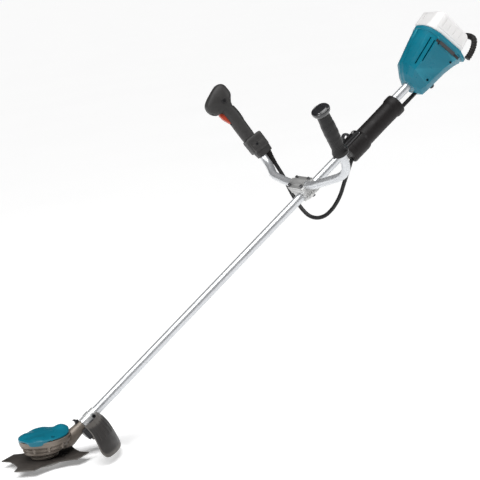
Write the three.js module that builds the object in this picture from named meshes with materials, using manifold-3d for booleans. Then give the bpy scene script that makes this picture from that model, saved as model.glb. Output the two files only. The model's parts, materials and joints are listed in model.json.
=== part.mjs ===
// Cordless brush cutter: motor in the cutting head, long pipe, two-hand handlebar, rear battery housing.
// Millimetres, +Z up. The origin is the centre of the blade nut's underside, on the spindle axis.
// +X runs from the blade towards the battery and +Y towards the user's right hand.
import * as THREE from 'three';
import { mergeVertices } from 'three/addons/utils/BufferGeometryUtils.js';
import Module from 'manifold-3d';

const wasm = await Module();
wasm.setup();

// ---------------------------------------------------------------- driving dimensions

const GAP = 0.3;
const DEGREE = Math.PI / 180;

// Shaft: the pipe's axis leaves the blade plane at SHAFT_FOOT and rises to the rear.
const SHAFT_ANGLE = 33 * DEGREE;
const SHAFT_FOOT = 25.5;
const PIPE_RADIUS = 12;
const PIPE_WALL = 1.5;
const PIPE_START = 104;
const PIPE_END = 1402;

// Cutting head, about the spindle. Its heights are counted from the blade's upper face.
const BLADE_HEIGHT = 18;
const BLADE_RADIUS = 115;
const BLADE_THICKNESS = 3;
const BLADE_TURN = -31.7;
const SPINDLE_RADIUS = 6;
const CASE_RADIUS = 66.5;
const CASE_TOP = 43;
const CASE_OFFSET = 7;
const NECK_END = 103.5;

// Handlebar, in the shaft's frame: along the shaft, across it, above it.
const BAR_RADIUS = 11;
const BAR_WALL = 1.8;
const BAR_ALONG = 966;
const BAR_ABOVE = 26;
const BAR_STRAIGHT = 72;
const BAR_RISE = [970, 150, 42.6];
const CORNER = [1009, 239, 42];
const GRIP_DIRECTION = [24, 59, 207];
const CLAMP_LENGTH = 44;

// Cable from the switch grip to the rear housing.
const CABLE_RADIUS = 5.5;
const CABLE_CHANNEL = -31;

// Sleeve on the pipe below the housing.
const SLEEVE_START = 1124;
const SLEEVE_END = 1325;
const SLEEVE_CENTRE = -12;
const SLEEVE_RADIUS = 27;
const COLLAR_RADIUS = 31;

// Rear housing: the plane that the battery slides along leans by REAR_TILT from square to the shaft.
const REAR_TILT = 11.3 * DEGREE;
const REAR_TOP = [1519.7, 104];
const REAR_HALF_WIDTH = 60;
const REAR_LOW = -160;
const RIM_DEPTH = 12;

// Battery pack, in the frame of its seat: out from the seat, and up along it.
const PACK_WIDTH = 106;
const PACK_SIDE = [[0.8, -8], [50, -12], [56.5, -20], [51, -118], [44, -127], [0.8, -132]];

// ---------------------------------------------------------------- materials

function finish(color, roughness, metalness) {
  return new THREE.MeshStandardMaterial({ color, roughness, metalness });
}

const PIPE_METAL = finish(0xe4e7ea, 0.25, 0.85);
const CAST_METAL = finish(0xa9a596, 0.45, 0.8);
const SILVER = finish(0xc4c6c8, 0.35, 0.85);
const STEEL = finish(0x8f9296, 0.35, 0.9);
const BLADE_STEEL = finish(0x4a4542, 0.5, 0.7);
const BLACK_STEEL = finish(0x1c1c1d, 0.45, 0.7);
const TEAL = finish(0x0a7483, 0.45, 0.0);
const BLACK = finish(0x1d1d1f, 0.55, 0.0);
const GREY = finish(0x37373a, 0.65, 0.0);
const RED = finish(0xc33a20, 0.45, 0.0);
const COPPER = finish(0xb26a3a, 0.4, 0.8);
const PALE = finish(0xe6e6e4, 0.5, 0.0);
const RUBBER = finish(0x161617, 0.8, 0.0);
const BOARD = finish(0x1f5a36, 0.5, 0.1);

// ---------------------------------------------------------------- solids

// Welds a geometry's corners and drops the slivers that a turned profile leaves on its axis.
function welded(geometry) {
  const bare = geometry.clone();
  bare.deleteAttribute('normal');
  bare.deleteAttribute('uv');
  const merged = mergeVertices(bare, 1e-4);
  const index = merged.index.array;
  const kept = [];
  for (let i = 0; i < index.length; i += 3) {
    const [a, b, c] = [index[i], index[i + 1], index[i + 2]];
    if (a !== b && b !== c && c !== a) kept.push(a, b, c);
  }
  merged.setIndex(kept);
  return merged;
}

function signedVolume(geometry) {
  const position = geometry.getAttribute('position');
  const index = geometry.index.array;
  const [a, b, c] = [new THREE.Vector3(), new THREE.Vector3(), new THREE.Vector3()];
  let volume = 0;
  for (let i = 0; i < index.length; i += 3) {
    a.fromBufferAttribute(position, index[i]);
    b.fromBufferAttribute(position, index[i + 1]);
    c.fromBufferAttribute(position, index[i + 2]);
    volume += a.dot(b.cross(c)) / 6;
  }
  return volume;
}

// A closed geometry with its faces pointing out, as a solid that can be joined and cut.
function solid(geometry) {
  const closed = welded(geometry);
  const triangles = Uint32Array.from(closed.index.array);
  if (signedVolume(closed) < 0) {
    for (let i = 0; i < triangles.length; i += 3) {
      [triangles[i + 1], triangles[i + 2]] = [triangles[i + 2], triangles[i + 1]];
    }
  }
  const vertProperties = Float32Array.from(closed.getAttribute('position').array);
  return new wasm.Manifold(new wasm.Mesh({ numProp: 3, vertProperties, triVerts: triangles }));
}

function join(first, ...others) {
  return others.reduce((whole, other) => whole.add(other), first);
}

function cut(first, ...others) {
  return others.reduce((whole, other) => whole.subtract(other), first);
}

function geometryOf(manifold) {
  const mesh = manifold.getMesh();
  const geometry = new THREE.BufferGeometry();
  geometry.setAttribute('position', new THREE.BufferAttribute(mesh.vertProperties, 3));
  geometry.setIndex(new THREE.BufferAttribute(mesh.triVerts, 1));
  const flat = geometry.toNonIndexed();
  flat.computeVertexNormals();
  return flat;
}

// A block between two corners.
function block(low, high) {
  const size = high.map((value, i) => value - low[i]);
  const middle = high.map((value, i) => (value + low[i]) / 2);
  return solid(new THREE.BoxGeometry(...size).translate(...middle));
}

// A round bar along x, y or z, centred at a point; its radius may taper from low end to high end.
function bar(axis, radius, length, centre, sides = 24, endRadius = radius) {
  const geometry = new THREE.CylinderGeometry(endRadius, radius, length, sides);
  if (axis === 'x') geometry.rotateZ(-Math.PI / 2);
  if (axis === 'z') geometry.rotateX(Math.PI / 2);
  return solid(geometry.translate(...centre));
}

// A profile of [radius, height] points turned about the z axis.
function turned(profile, sides = 32, start = 0, length = 2 * Math.PI) {
  const points = profile.map(([radius, height]) => new THREE.Vector2(radius, height));
  const geometry = new THREE.LatheGeometry(points, sides, start, length);
  return geometry.rotateX(Math.PI / 2);
}

function closedLoop(profile) {
  return [...profile, profile[0]];
}

// An outline in x and y, given a thickness upwards from height z.
function plate(shape, z, thickness, curveSegments = 8) {
  const settings = { depth: thickness, bevelEnabled: false, curveSegments };
  return new THREE.ExtrudeGeometry(shape, settings).translate(0, 0, z);
}

// A polygon in the x-z plane, given a thickness centred on y = 0.
function sidePlate(points, thickness, y = 0) {
  const shape = new THREE.Shape(points.map(([x, z]) => new THREE.Vector2(x, z)));
  const geometry = plate(shape, -thickness / 2, thickness).rotateX(Math.PI / 2);
  return solid(geometry.translate(0, y, 0));
}

// A skin through rings of points, closed by a flat or slanted face at each end.
function loft(rings) {
  const count = rings[0].length;
  const positions = rings.flat(2);
  const centres = [rings[0], rings[rings.length - 1]].map((ring) => {
    const sum = ring.reduce((total, point) => total.map((value, i) => value + point[i]), [0, 0, 0]);
    return sum.map((value) => value / count);
  });
  positions.push(...centres.flat());
  const first = rings.length * count;
  const index = [];
  for (let i = 0; i < count; i += 1) {
    const next = (i + 1) % count;
    for (let ring = 0; ring + 1 < rings.length; ring += 1) {
      const low = ring * count;
      const high = low + count;
      index.push(low + i, low + next, high + next, low + i, high + next, high + i);
    }
    const last = (rings.length - 1) * count;
    index.push(first, next, i);
    index.push(first + 1, last + i, last + next);
  }
  const geometry = new THREE.BufferGeometry();
  geometry.setAttribute('position', new THREE.Float32BufferAttribute(positions, 3));
  geometry.setIndex(index);
  return solid(geometry);
}

// A ring of points round a box with rounded sides, in the plane of a height z that may slope with x.
function ovalRing({ z, x = 0, y = 0, halfX, halfY, power = 2.6, slope = 0, count = 20 }) {
  return Array.from({ length: count }, (_, i) => {
    const angle = (2 * Math.PI * i) / count;
    const reach = (value) => Math.sign(value) * Math.abs(value) ** (2 / power);
    const px = x + halfX * reach(Math.cos(angle));
    const py = y + halfY * reach(Math.sin(angle));
    return [px, py, z + slope * (px - x)];
  });
}

function circle(radius, sides) {
  const shape = new THREE.Shape();
  shape.moveTo(radius, 0);
  for (let i = 1; i < sides; i += 1) {
    const angle = (2 * Math.PI * i) / sides;
    shape.lineTo(radius * Math.cos(angle), radius * Math.sin(angle));
  }
  return shape;
}

// A round rod along a curve.
function along(curve, radius, sides, steps) {
  const settings = { steps, bevelEnabled: false, extrudePath: curve };
  return new THREE.ExtrudeGeometry(circle(radius, sides), settings);
}

// The stations of a path of straight stretches whose corners are rounded off a given length from each
// corner: points and directions, close together only in the bends.
function bentStations(points, lead, bendSteps = 6) {
  const corners = points.map((point) => new THREE.Vector3(...point));
  const last = corners.length - 1;
  const straight = (from, to) => to.clone().sub(from).normalize();
  const stations = [{ point: corners[0], direction: straight(corners[0], corners[1]) }];
  for (let i = 1; i < last; i += 1) {
    const corner = corners[i];
    const before = corner.clone().addScaledVector(straight(corner, corners[i - 1]), lead[i]);
    const after = corner.clone().addScaledVector(straight(corner, corners[i + 1]), lead[i]);
    const bend = new THREE.QuadraticBezierCurve3(before, corner, after);
    for (let step = 0; step <= bendSteps; step += 1) {
      const t = step / bendSteps;
      stations.push({ point: bend.getPoint(t), direction: bend.getTangent(t) });
    }
  }
  stations.push({ point: corners[last], direction: straight(corners[last - 1], corners[last]) });
  return stations;
}

// A round bar through stations that never run along x.
function bentBar(stations, radius, sides) {
  return loft(stations.map(({ point, direction }) => {
    const across = new THREE.Vector3(1, 0, 0).addScaledVector(direction, -direction.x).normalize();
    const third = new THREE.Vector3().crossVectors(direction, across);
    return Array.from({ length: sides }, (_, i) => {
      const angle = (2 * Math.PI * i) / sides;
      const place = point.clone().addScaledVector(across, radius * Math.cos(angle));
      return place.addScaledVector(third, radius * Math.sin(angle)).toArray();
    });
  }));
}

// A socket-head bolt along z: its head stands on the seat and its shank goes down from it.
function bolt(headRadius, headHeight, shankRadius, shankLength) {
  const head = bar('z', headRadius, headHeight, [0, 0, headHeight / 2], 14);
  const shank = bar('z', shankRadius, shankLength + 1, [0, 0, 0.5 - shankLength / 2], 8);
  const socket = bar('z', headRadius * 0.5, headHeight, [0, 0, headHeight], 6);
  return cut(join(head, shank), socket);
}

// ---------------------------------------------------------------- frames

const row = new THREE.Group();

// The tool's frame: z along the spindle, from the blade's upper face.
const tool = new THREE.Group();
tool.position.z = BLADE_HEIGHT;
row.add(tool);

// The shaft's frame: x along the pipe from the blade plane, y across, z square to the pipe.
const shaft = new THREE.Group();
shaft.position.set(SHAFT_FOOT, 0, 0);
shaft.rotation.y = -SHAFT_ANGLE;
tool.add(shaft);

// The battery seat's frame: x out of the rear face, z up along it, from the face's top edge.
const rear = new THREE.Group();
rear.position.set(REAR_TOP[0], 0, REAR_TOP[1]);
rear.rotation.y = -REAR_TILT;
shaft.add(rear);

// A grip's frame: z along the grip from the bar's corner, x towards the user, y outwards on the right.
function gripFrame(side) {
  const along_ = new THREE.Vector3(GRIP_DIRECTION[0], side * GRIP_DIRECTION[1], GRIP_DIRECTION[2]);
  const z = along_.normalize();
  const x = new THREE.Vector3(1, 0, 0).addScaledVector(z, -z.x).normalize();
  const y = new THREE.Vector3().crossVectors(z, x);
  const group = new THREE.Group();
  group.quaternion.setFromRotationMatrix(new THREE.Matrix4().makeBasis(x, y, z));
  group.position.set(CORNER[0], side * CORNER[1], CORNER[2]);
  shaft.add(group);
  return group;
}

const rightGrip = gripFrame(1);
const leftGrip = gripFrame(-1);

function add(group, name, shape, material) {
  const geometry = shape.isBufferGeometry ? geometryOf(solid(shape)) : geometryOf(shape);
  const mesh = new THREE.Mesh(geometry, material);
  mesh.name = name;
  group.add(mesh);
  return mesh;
}

// Moves a solid from the shaft's frame into the tool's frame, for pieces built about the spindle.
function fromShaft(manifold) {
  shaft.updateMatrix();
  return manifold.transform(shaft.matrix.elements);
}

// ---------------------------------------------------------------- cutting head

// Two broad arms, each with two hooked teeth, the same after half a turn.
function bladeOutline() {
  const shape = new THREE.Shape();
  const at = (radius, angle) => {
    const turn = (angle + BLADE_TURN) * DEGREE;
    return [radius * Math.cos(turn), radius * Math.sin(turn)];
  };
  const corner = 107;
  const notch = 90;
  for (const half of [0, 180]) {
    const start = at(corner, half - 27);
    if (half === 0) shape.moveTo(...start);
    else shape.quadraticCurveTo(...at(50, half - 59), ...start);
    shape.lineTo(...at(BLADE_RADIUS, half));
    shape.lineTo(...at(notch, half + 8));
    shape.quadraticCurveTo(...at(notch - 12, half + 31), ...at(notch, half + 53));
    shape.lineTo(...at(BLADE_RADIUS, half + 61));
    shape.lineTo(...at(corner, half + 88));
  }
  shape.quadraticCurveTo(...at(50, -59), ...at(corner, -27));
  shape.holes.push(new THREE.Path(circle(12.7, 24).getPoints()));
  return shape;
}

function cutterPieces() {
  add(tool, 'blade', plate(bladeOutline(), -BLADE_THICKNESS, BLADE_THICKNESS, 6), BLADE_STEEL);
  const bore = SPINDLE_RADIUS + GAP;
  const receiver = [
    [bore, -2.7], [12.2, -2.7], [12.2, GAP], [33.5, GAP], [36, 3], [36, 8], [33, 12], [bore, 12],
  ];
  add(tool, 'receive_washer', turned(closedLoop(receiver), 24), CAST_METAL);
  const washer = [[bore, -6.5], [30, -6.5], [30, -3.3], [bore, -3.3]];
  add(tool, 'clamp_washer', turned(closedLoop(washer), 24), STEEL);
  const cup = [
    [bore, -9.5], [22, -9.5], [25, -17], [38, -17], [44, -12], [46, -6.9], [43.5, -6.9],
    [41.5, -11], [36.5, -14.5], [27, -14.5], [24, -6.9], [bore, -6.9],
  ];
  add(tool, 'glide_cup', turned(closedLoop(cup), 24), STEEL);
  const nut = cut(bar('z', 10, 8, [0, 0, -14], 6), bar('z', bore, 6, [0, 0, -12.5], 16));
  add(tool, 'blade_nut', nut, STEEL);
  add(tool, 'spindle', bar('z', SPINDLE_RADIUS, 71.5, [0, 0, 21], 20), STEEL);
  const rotor = [[bore, 26], [25.5, 26], [25.5, 45], [bore, 45]];
  add(tool, 'rotor', turned(closedLoop(rotor), 24), STEEL);
}

function bearing(low, high, outer) {
  const bore = SPINDLE_RADIUS + GAP;
  return turned(closedLoop([[bore, low], [outer, low], [outer, high], [bore, high]]), 20);
}

// The metal case tapers in steps to the blade and carries the neck that holds the pipe.
function motorCase() {
  const foot = [[0, 13], [37, 13], [44, 14], [50, 18], [50.5, 30], [0, 30]];
  const flare = [
    [0, 24], [51, 24], [57, 26], [64, 33], [CASE_RADIUS, 38], [CASE_RADIUS, CASE_TOP], [0, CASE_TOP],
  ];
  const inside = [[0, 24], [46, 24], [46, CASE_TOP + 5], [0, CASE_TOP + 5]];
  const rim = [[0, 33], [55, 33], [63, 38], [63.5, CASE_TOP + 5], [0, CASE_TOP + 5]];
  const offset = (profile) => solid(turned(profile, 36)).translate(CASE_OFFSET, 0, 0);
  const neck = join(
    bar('x', 28, 30, [38, 0, 2], 20, 22),
    bar('x', 22, 34, [70, 0, 0], 20, 15.5),
    bar('x', 15.5, 20, [NECK_END - 10, 0, 0], 20, 15),
  );
  const rootBlock = block([20, -14, -12], [66, 14, 16]);
  const solidNeck = fromShaft(join(neck, rootBlock));
  const below = block([-200, -200, -60], [200, 200, 20]);
  const pipeSocket = fromShaft(bar('x', PIPE_RADIUS - 3, 120, [90, 0, 0], 24));
  const coverRoom = bar('z', CASE_RADIUS + 1, 60, [CASE_OFFSET, 0, CASE_TOP + 30], 36);
  return cut(
    join(solid(turned(foot, 32)), offset(flare), cut(solidNeck, below, coverRoom)),
    solid(turned(inside, 32)),
    offset(rim),
    bar('z', 16 + GAP, 10, [0, 0, 19.3], 24),
    bar('z', 11, 10, [0, 0, 14], 24),
    pipeSocket,
  );
}

function motorCover() {
  const skin = [
    [CASE_RADIUS, CASE_TOP + GAP], [CASE_RADIUS, 50], [62, 55], [46, 62.5], [24, 64.5], [0, 65],
    [0, 62.3], [24, 61.8], [45, 60], [60, 53], [63.8, 49], [63.6, CASE_TOP + GAP],
  ];
  const shell = solid(turned(closedLoop(skin), 36)).translate(CASE_OFFSET, 0, 0);
  const boss = turned(closedLoop([[11 + GAP, 48], [14, 48], [14, 62.6], [11 + GAP, 62.6]]), 20);
  const pocket = bar('z', 4.8, 20, [SCREW_AT[0], SCREW_AT[1], 63], 16);
  const hole = bar('z', 2.4, 30, [SCREW_AT[0], SCREW_AT[1], 50], 12);
  return cut(join(shell, solid(boss)), pocket, hole);
}

const SCREW_AT = [14, -53];

function headPieces() {
  add(tool, 'motor_case', motorCase(), CAST_METAL);
  add(tool, 'motor_cover', motorCover(), TEAL);
  const screw = bolt(4.3, 3, 2.1, 10);
  add(tool, 'cover_screw', screw.translate(SCREW_AT[0], SCREW_AT[1], 53 + GAP), BLACK_STEEL);
  const stator = [[26, 25], [44.4, 25], [44.4, 46], [26, 46]];
  add(tool, 'stator', turned(closedLoop(stator), 24), COPPER);
  add(tool, 'lower_bearing', bearing(14.8, 23.8, 16), STEEL);
  add(tool, 'upper_bearing', bearing(48.5, 56, 11), STEEL);
}

// The screw that holds the pipe in its collar, from the user's left.
const HOLDER_BOLT = [136, 2];

// A split collar holds the pipe's end onto the neck.
function pipeHolder() {
  const start = NECK_END + GAP;
  const end = 150;
  const length = end - start;
  const collar = bar('x', 15, length, [start + length / 2, 0, 0], 28);
  const boss = bar('y', 7.5, 16, [HOLDER_BOLT[0], -9.5, HOLDER_BOLT[1]], 24);
  const lug = block([118, -3, 8], [134, 3, 17]);
  const bore = bar('x', PIPE_RADIUS + GAP, length + 2, [start + length / 2, 0, 0], 28);
  const slot = block([start - 1, -1.5, 0], [end + 1, 1.5, 30]);
  const boltHole = bar('y', 3, 30, [HOLDER_BOLT[0], -20, HOLDER_BOLT[1]], 12);
  return cut(join(collar, lug, boss), bore, slot, boltHole);
}

function holderPieces() {
  add(shaft, 'pipe_holder', pipeHolder(), SILVER);
  const cross = bolt(5, 4, 2.7, 5).rotate([90, 0, 0]);
  const seat = -17.5 - GAP;
  add(shaft, 'pipe_holder_bolt', cross.translate(HOLDER_BOLT[0], seat, HOLDER_BOLT[1]), BLACK_STEEL);
  const hook = sidePlate([[90, 15], [101, 15], [103, 19], [100, 21], [97, 26], [91, 28], [93, 20]], 10);
  add(shaft, 'neck_hook', cut(hook, bar('x', 15.8 + GAP, 60, [90, 0, 0], 28)), BLACK);
}

// ---------------------------------------------------------------- guard

const GUARD_FROM = -58;
const GUARD_TO = 20;
const GUARD_SKIN = 3;
const GUARD_PLATE = { low: -42, high: -36 };

// A shield turned about the spindle, behind the blade and round to the user's left.
function guardShell() {
  const sweep = (GUARD_TO - GUARD_FROM) * DEGREE;
  const steps = 22;
  const rings = Array.from({ length: steps + 1 }, (_, step) => {
    const angle = GUARD_FROM * DEGREE + (sweep * step) / steps;
    const fromEnd = Math.min(step, steps - step) * (sweep / steps) * 190;
    const outer = GUARD_HEIGHTS.map((share) => {
      const height = cornerLift(fromEnd) + (GUARD_HIGH - cornerLift(fromEnd)) * share;
      return [guardRadius(height), height];
    });
    const inner = outer.map(([radius, height]) => [radius - GUARD_SKIN, height - 1]).reverse();
    return [...outer, ...inner].map(([radius, height]) => [
      radius * Math.cos(angle), radius * Math.sin(angle), height,
    ]);
  });
  return closedSweep(rings);
}

const GUARD_HIGH = 86;
const GUARD_HEIGHTS = [1, 0.91, 0.74, 0.47, 0.17, 0.07, 0];
const GUARD_SECTION = [[193.5, 0], [193, 6], [190, 15], [181, 40], [169, 64], [158, 78], [147, 86]];
const GUARD_CORNER = 26;

// The shield's radius at a height, between the corners of its section.
function guardRadius(height) {
  const above = Math.max(1, GUARD_SECTION.findIndex(([, z]) => z >= height - 1e-9));
  const [low, high] = [GUARD_SECTION[above - 1], GUARD_SECTION[above]];
  return low[0] + ((high[0] - low[0]) * (height - low[1])) / (high[1] - low[1]);
}

// How far the shield's lower edge rises near its two ends, to round its corners.
function cornerLift(fromEnd) {
  const short = Math.max(0, GUARD_CORNER - fromEnd);
  return GUARD_CORNER - Math.sqrt(GUARD_CORNER ** 2 - short ** 2);
}

// A skin through rings, whose two end faces are strips between the ring's two long sides.
function closedSweep(rings) {
  const count = rings[0].length;
  const index = [];
  for (let ring = 0; ring + 1 < rings.length; ring += 1) {
    for (let i = 0; i < count; i += 1) {
      const next = (i + 1) % count;
      const low = ring * count;
      const high = low + count;
      index.push(low + i, low + next, high + next, low + i, high + next, high + i);
    }
  }
  const last = (rings.length - 1) * count;
  for (let i = 0; i + 1 < count / 2; i += 1) {
    const [a, b, c, d] = [i, i + 1, count - 2 - i, count - 1 - i];
    index.push(a, c, b, a, d, c);
    index.push(last + a, last + b, last + c, last + a, last + c, last + d);
  }
  const geometry = new THREE.BufferGeometry();
  geometry.setAttribute('position', new THREE.Float32BufferAttribute(rings.flat(2), 3));
  geometry.setIndex(index);
  return solid(geometry);
}

function guard() {
  const clearance = fromShaft(bar('x', 24, 300, [150, 0, 0], 28));
  const shelf = fromShaft(block([94, -24, GUARD_PLATE.low], [150, 24, GUARD_PLATE.high]));
  const ribs = [-20, 20].map((y) => fromShaft(block([120, y - 1.5, -54], [150, y + 1.5, -40])));
  const holes = GUARD_BOLTS.map(([x, y]) => fromShaft(bar('z', 3.2, 30, [x, y, -40], 12)));
  return cut(join(cut(guardShell(), clearance), shelf, ...ribs), ...holes);
}

const GUARD_BOLTS = [[108, -13], [108, 13]];

function guardPieces() {
  const body = block([88, -21, GUARD_PLATE.high + GAP], [141, 21, -6]);
  const saddle = bar('x', 15.8, 200, [110, 0, 0], 28);
  const holes = GUARD_BOLTS.map(([x, y]) => bar('z', 3.2, 20, [x, y, -36], 12));
  const taper = bar('x', 17.4, 12, [87, 0, 0], 28, 15.8);
  add(shaft, 'guard_bracket', cut(body, saddle, taper, ...holes), BLACK);
  add(tool, 'guard', guard(), GREY);
  ['guard_bolt_left', 'guard_bolt_right'].forEach((name, i) => {
    const [x, y] = GUARD_BOLTS[i];
    const upward = bolt(5.5, 5, 2.9, 12).rotate([180, 0, 0]);
    add(shaft, name, upward.translate(x, y, GUARD_PLATE.low - GAP), BLACK_STEEL);
  });
}

// ---------------------------------------------------------------- pipe and handlebar clamp

function pipePieces() {
  const inner = PIPE_RADIUS - PIPE_WALL;
  const wall = closedLoop([
    [inner, PIPE_START], [PIPE_RADIUS, PIPE_START], [PIPE_RADIUS, PIPE_END], [inner, PIPE_END],
  ]);
  add(shaft, 'shaft_pipe', turned(wall, 32).rotateY(Math.PI / 2), PIPE_METAL);
  add(shaft, 'motor_cable', bar('x', 3.5, 1340, [750, 0, -4], 10), RUBBER);
}

const CAP_BOLTS = [[-15, -34], [-15, 34], [15, -34], [15, 34]];
const CAP_BOLT_HEAD = 4.4;
const CAP_SEAT = BAR_ABOVE + 6;
const BASE_BOLTS = [[0, -24], [0, 24]];

function clampPieces() {
  const half = CLAMP_LENGTH / 2;
  const pipeBore = bar('x', PIPE_RADIUS + GAP, 80, [BAR_ALONG, 0, 0], 28);
  const barBore = bar('y', BAR_RADIUS + GAP, 120, [BAR_ALONG, 0, BAR_ABOVE], 28);
  const capHoles = CAP_BOLTS.map(([x, y]) => bar('z', 2.9, 60, [BAR_ALONG + x, y, BAR_ABOVE + 12], 12));
  const baseHoles = BASE_BOLTS.map(([x, y]) => bar('z', 3.2, 60, [BAR_ALONG + x, y, -16], 12));
  const base = join(
    block([BAR_ALONG - half, -34, -9], [BAR_ALONG + half, 34, -0.5]),
    sideBar(BAR_ALONG, CLAMP_LENGTH, 17.5, 0).intersect(block([0, -60, -60], [2000, 60, -0.5])),
  );
  add(shaft, 'clamp_base', cut(base, pipeBore, ...baseHoles), CAST_METAL);
  const saddle = join(
    block([BAR_ALONG - half, -34, 0.5], [BAR_ALONG + half, 34, 10]),
    block([BAR_ALONG - half, -41, 10], [BAR_ALONG + half, 41, BAR_ABOVE - 0.5]),
  );
  add(shaft, 'clamp_saddle', cut(saddle, pipeBore, barBore, ...capHoles, ...baseHoles), CAST_METAL);
  const cap = join(
    block([BAR_ALONG - half, -41, BAR_ABOVE + 0.5], [BAR_ALONG + half, 41, CAP_SEAT]),
    bar('y', 14.6, 82, [BAR_ALONG, 0, BAR_ABOVE], 28).intersect(
      block([BAR_ALONG - half, -60, BAR_ABOVE + 0.5], [BAR_ALONG + half, 60, 100]),
    ),
  );
  const pockets = CAP_BOLTS.map(([x, y]) => (
    bar('z', CAP_BOLT_HEAD + 0.4, 30, [BAR_ALONG + x, y, CAP_SEAT + 15], 16)
  ));
  add(shaft, 'clamp_cap', cut(cap, barBore, ...capHoles, ...pockets), CAST_METAL);
  CAP_BOLTS.forEach(([x, y], i) => {
    const piece = bolt(CAP_BOLT_HEAD, 6, 2.6, 17).translate(BAR_ALONG + x, y, CAP_SEAT + GAP);
    add(shaft, `cap_bolt_${i + 1}`, piece, BLACK_STEEL);
  });
  BASE_BOLTS.forEach(([x, y], i) => {
    const piece = bolt(5, 6, 2.9, 18).rotate([180, 0, 0]);
    add(shaft, `base_bolt_${i + 1}`, piece.translate(BAR_ALONG + x, y, -9 - GAP), BLACK_STEEL);
  });
}

function sideBar(x, length, radius, z) {
  return bar('x', radius, length, [x, 0, z], 28);
}

// ---------------------------------------------------------------- handlebar

const RIGHT_BAR_END = 122;
const LEFT_BAR_END = 200;
const BEND_LEAD = 50;
const RISE_LEAD = 20;

function gripPoint(side, distance) {
  const direction = new THREE.Vector3(GRIP_DIRECTION[0], side * GRIP_DIRECTION[1], GRIP_DIRECTION[2]);
  direction.normalize().multiplyScalar(distance);
  return [CORNER[0] + direction.x, side * CORNER[1] + direction.y, CORNER[2] + direction.z];
}

function barStations(extra = 0) {
  const points = [
    gripPoint(-1, LEFT_BAR_END + extra),
    [CORNER[0], -CORNER[1], CORNER[2]],
    [BAR_RISE[0], -BAR_RISE[1], BAR_RISE[2]],
    [BAR_ALONG, -BAR_STRAIGHT, BAR_ABOVE],
    [BAR_ALONG, BAR_STRAIGHT, BAR_ABOVE],
    [BAR_RISE[0], BAR_RISE[1], BAR_RISE[2]],
    [CORNER[0], CORNER[1], CORNER[2]],
    gripPoint(1, RIGHT_BAR_END + extra),
  ];
  return bentStations(points, [0, BEND_LEAD, RISE_LEAD, RISE_LEAD, RISE_LEAD, RISE_LEAD, BEND_LEAD, 0]);
}

function barTube() {
  const bore = bentBar(barStations(1), BAR_RADIUS - BAR_WALL, 12);
  return cut(bentBar(barStations(), BAR_RADIUS, 16), bore);
}

// Cuts the bent bar, with a running gap all round, out of a piece built in the right grip's frame.
function withoutBar(manifold) {
  rightGrip.updateMatrix();
  const toGrip = rightGrip.matrix.clone().invert();
  const clearance = bentBar(barStations(20), BAR_RADIUS + GAP, 16);
  return cut(manifold, clearance.transform(toGrip.elements));
}

// ---------------------------------------------------------------- left grip

const LEFT_FLANGE = 68;
const LEFT_TOP = 213;

function leftGripPieces() {
  const round = (z, halfX, halfY = halfX) => ovalRing({ z, halfX, halfY, power: 2.2 });
  const body = loft([
    round(LEFT_FLANGE, 21), round(LEFT_FLANGE + 9, 21.4), round(LEFT_FLANGE + 18, 18),
    round(LEFT_FLANGE + 25, 17), round(LEFT_FLANGE + 45, 17.6), round(LEFT_FLANGE + 78, 18.6),
    round(LEFT_FLANGE + 112, 17), round(LEFT_TOP - 16, 16.5),
  ]);
  const bore = bar('z', BAR_RADIUS + GAP, 200, [0, 0, 110], 24);
  const screwHole = bar('x', 2.2, 30, [-18, 0, LEFT_FLANGE + 3.5], 12);
  add(leftGrip, 'left_grip', cut(body, bore, screwHole), BLACK);
  const cap = loft([
    round(LEFT_TOP - 16 + GAP, 19), round(LEFT_TOP - 10, 23.5), round(LEFT_TOP - 2, 24.5),
    round(LEFT_TOP + 1, 22), round(LEFT_TOP + 3.2, 16),
  ]);
  const socket = bar('z', BAR_RADIUS + GAP, 20, [0, 0, LEFT_TOP - 20], 24);
  add(leftGrip, 'left_grip_cap', cut(cap, socket), BLACK);
  const screw = bolt(3.6, 2.4, 1.9, 7).rotate([0, -90, 0]);
  add(leftGrip, 'left_grip_screw', screw.translate(-21.5 - GAP, 0, LEFT_FLANGE + 3.5), BLACK_STEEL);
}

// ---------------------------------------------------------------- right grip

const BLOCK_LOW = 29;
const BLOCK_HIGH = 92;
const CABLE_EXIT_X = 20;

function gripBlock() {
  const ring = (z, low, high, halfY) => ovalRing({
    z, x: (low + high) / 2, halfX: (high - low) / 2, halfY, power: 5, count: 24,
  });
  const body = loft([
    ring(BLOCK_LOW, -13, 32, 16), ring(BLOCK_LOW + 17, -15, 33, 19), ring(BLOCK_LOW + 21, -20, 34, 23),
    ring(BLOCK_HIGH - 4, -20, 35, 23), ring(BLOCK_HIGH, -18, 33, 21),
  ]);
  return cut(
    withoutBar(body),
    bar('z', CABLE_RADIUS + 0.6, 50, [CABLE_EXIT_X, 0, BLOCK_LOW + 15], 20),
    bar('y', 2.4, 30, [2, -20, 66], 12),
    bar('y', 4.6, 10, [2, -24, 66], 16),
  );
}

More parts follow.
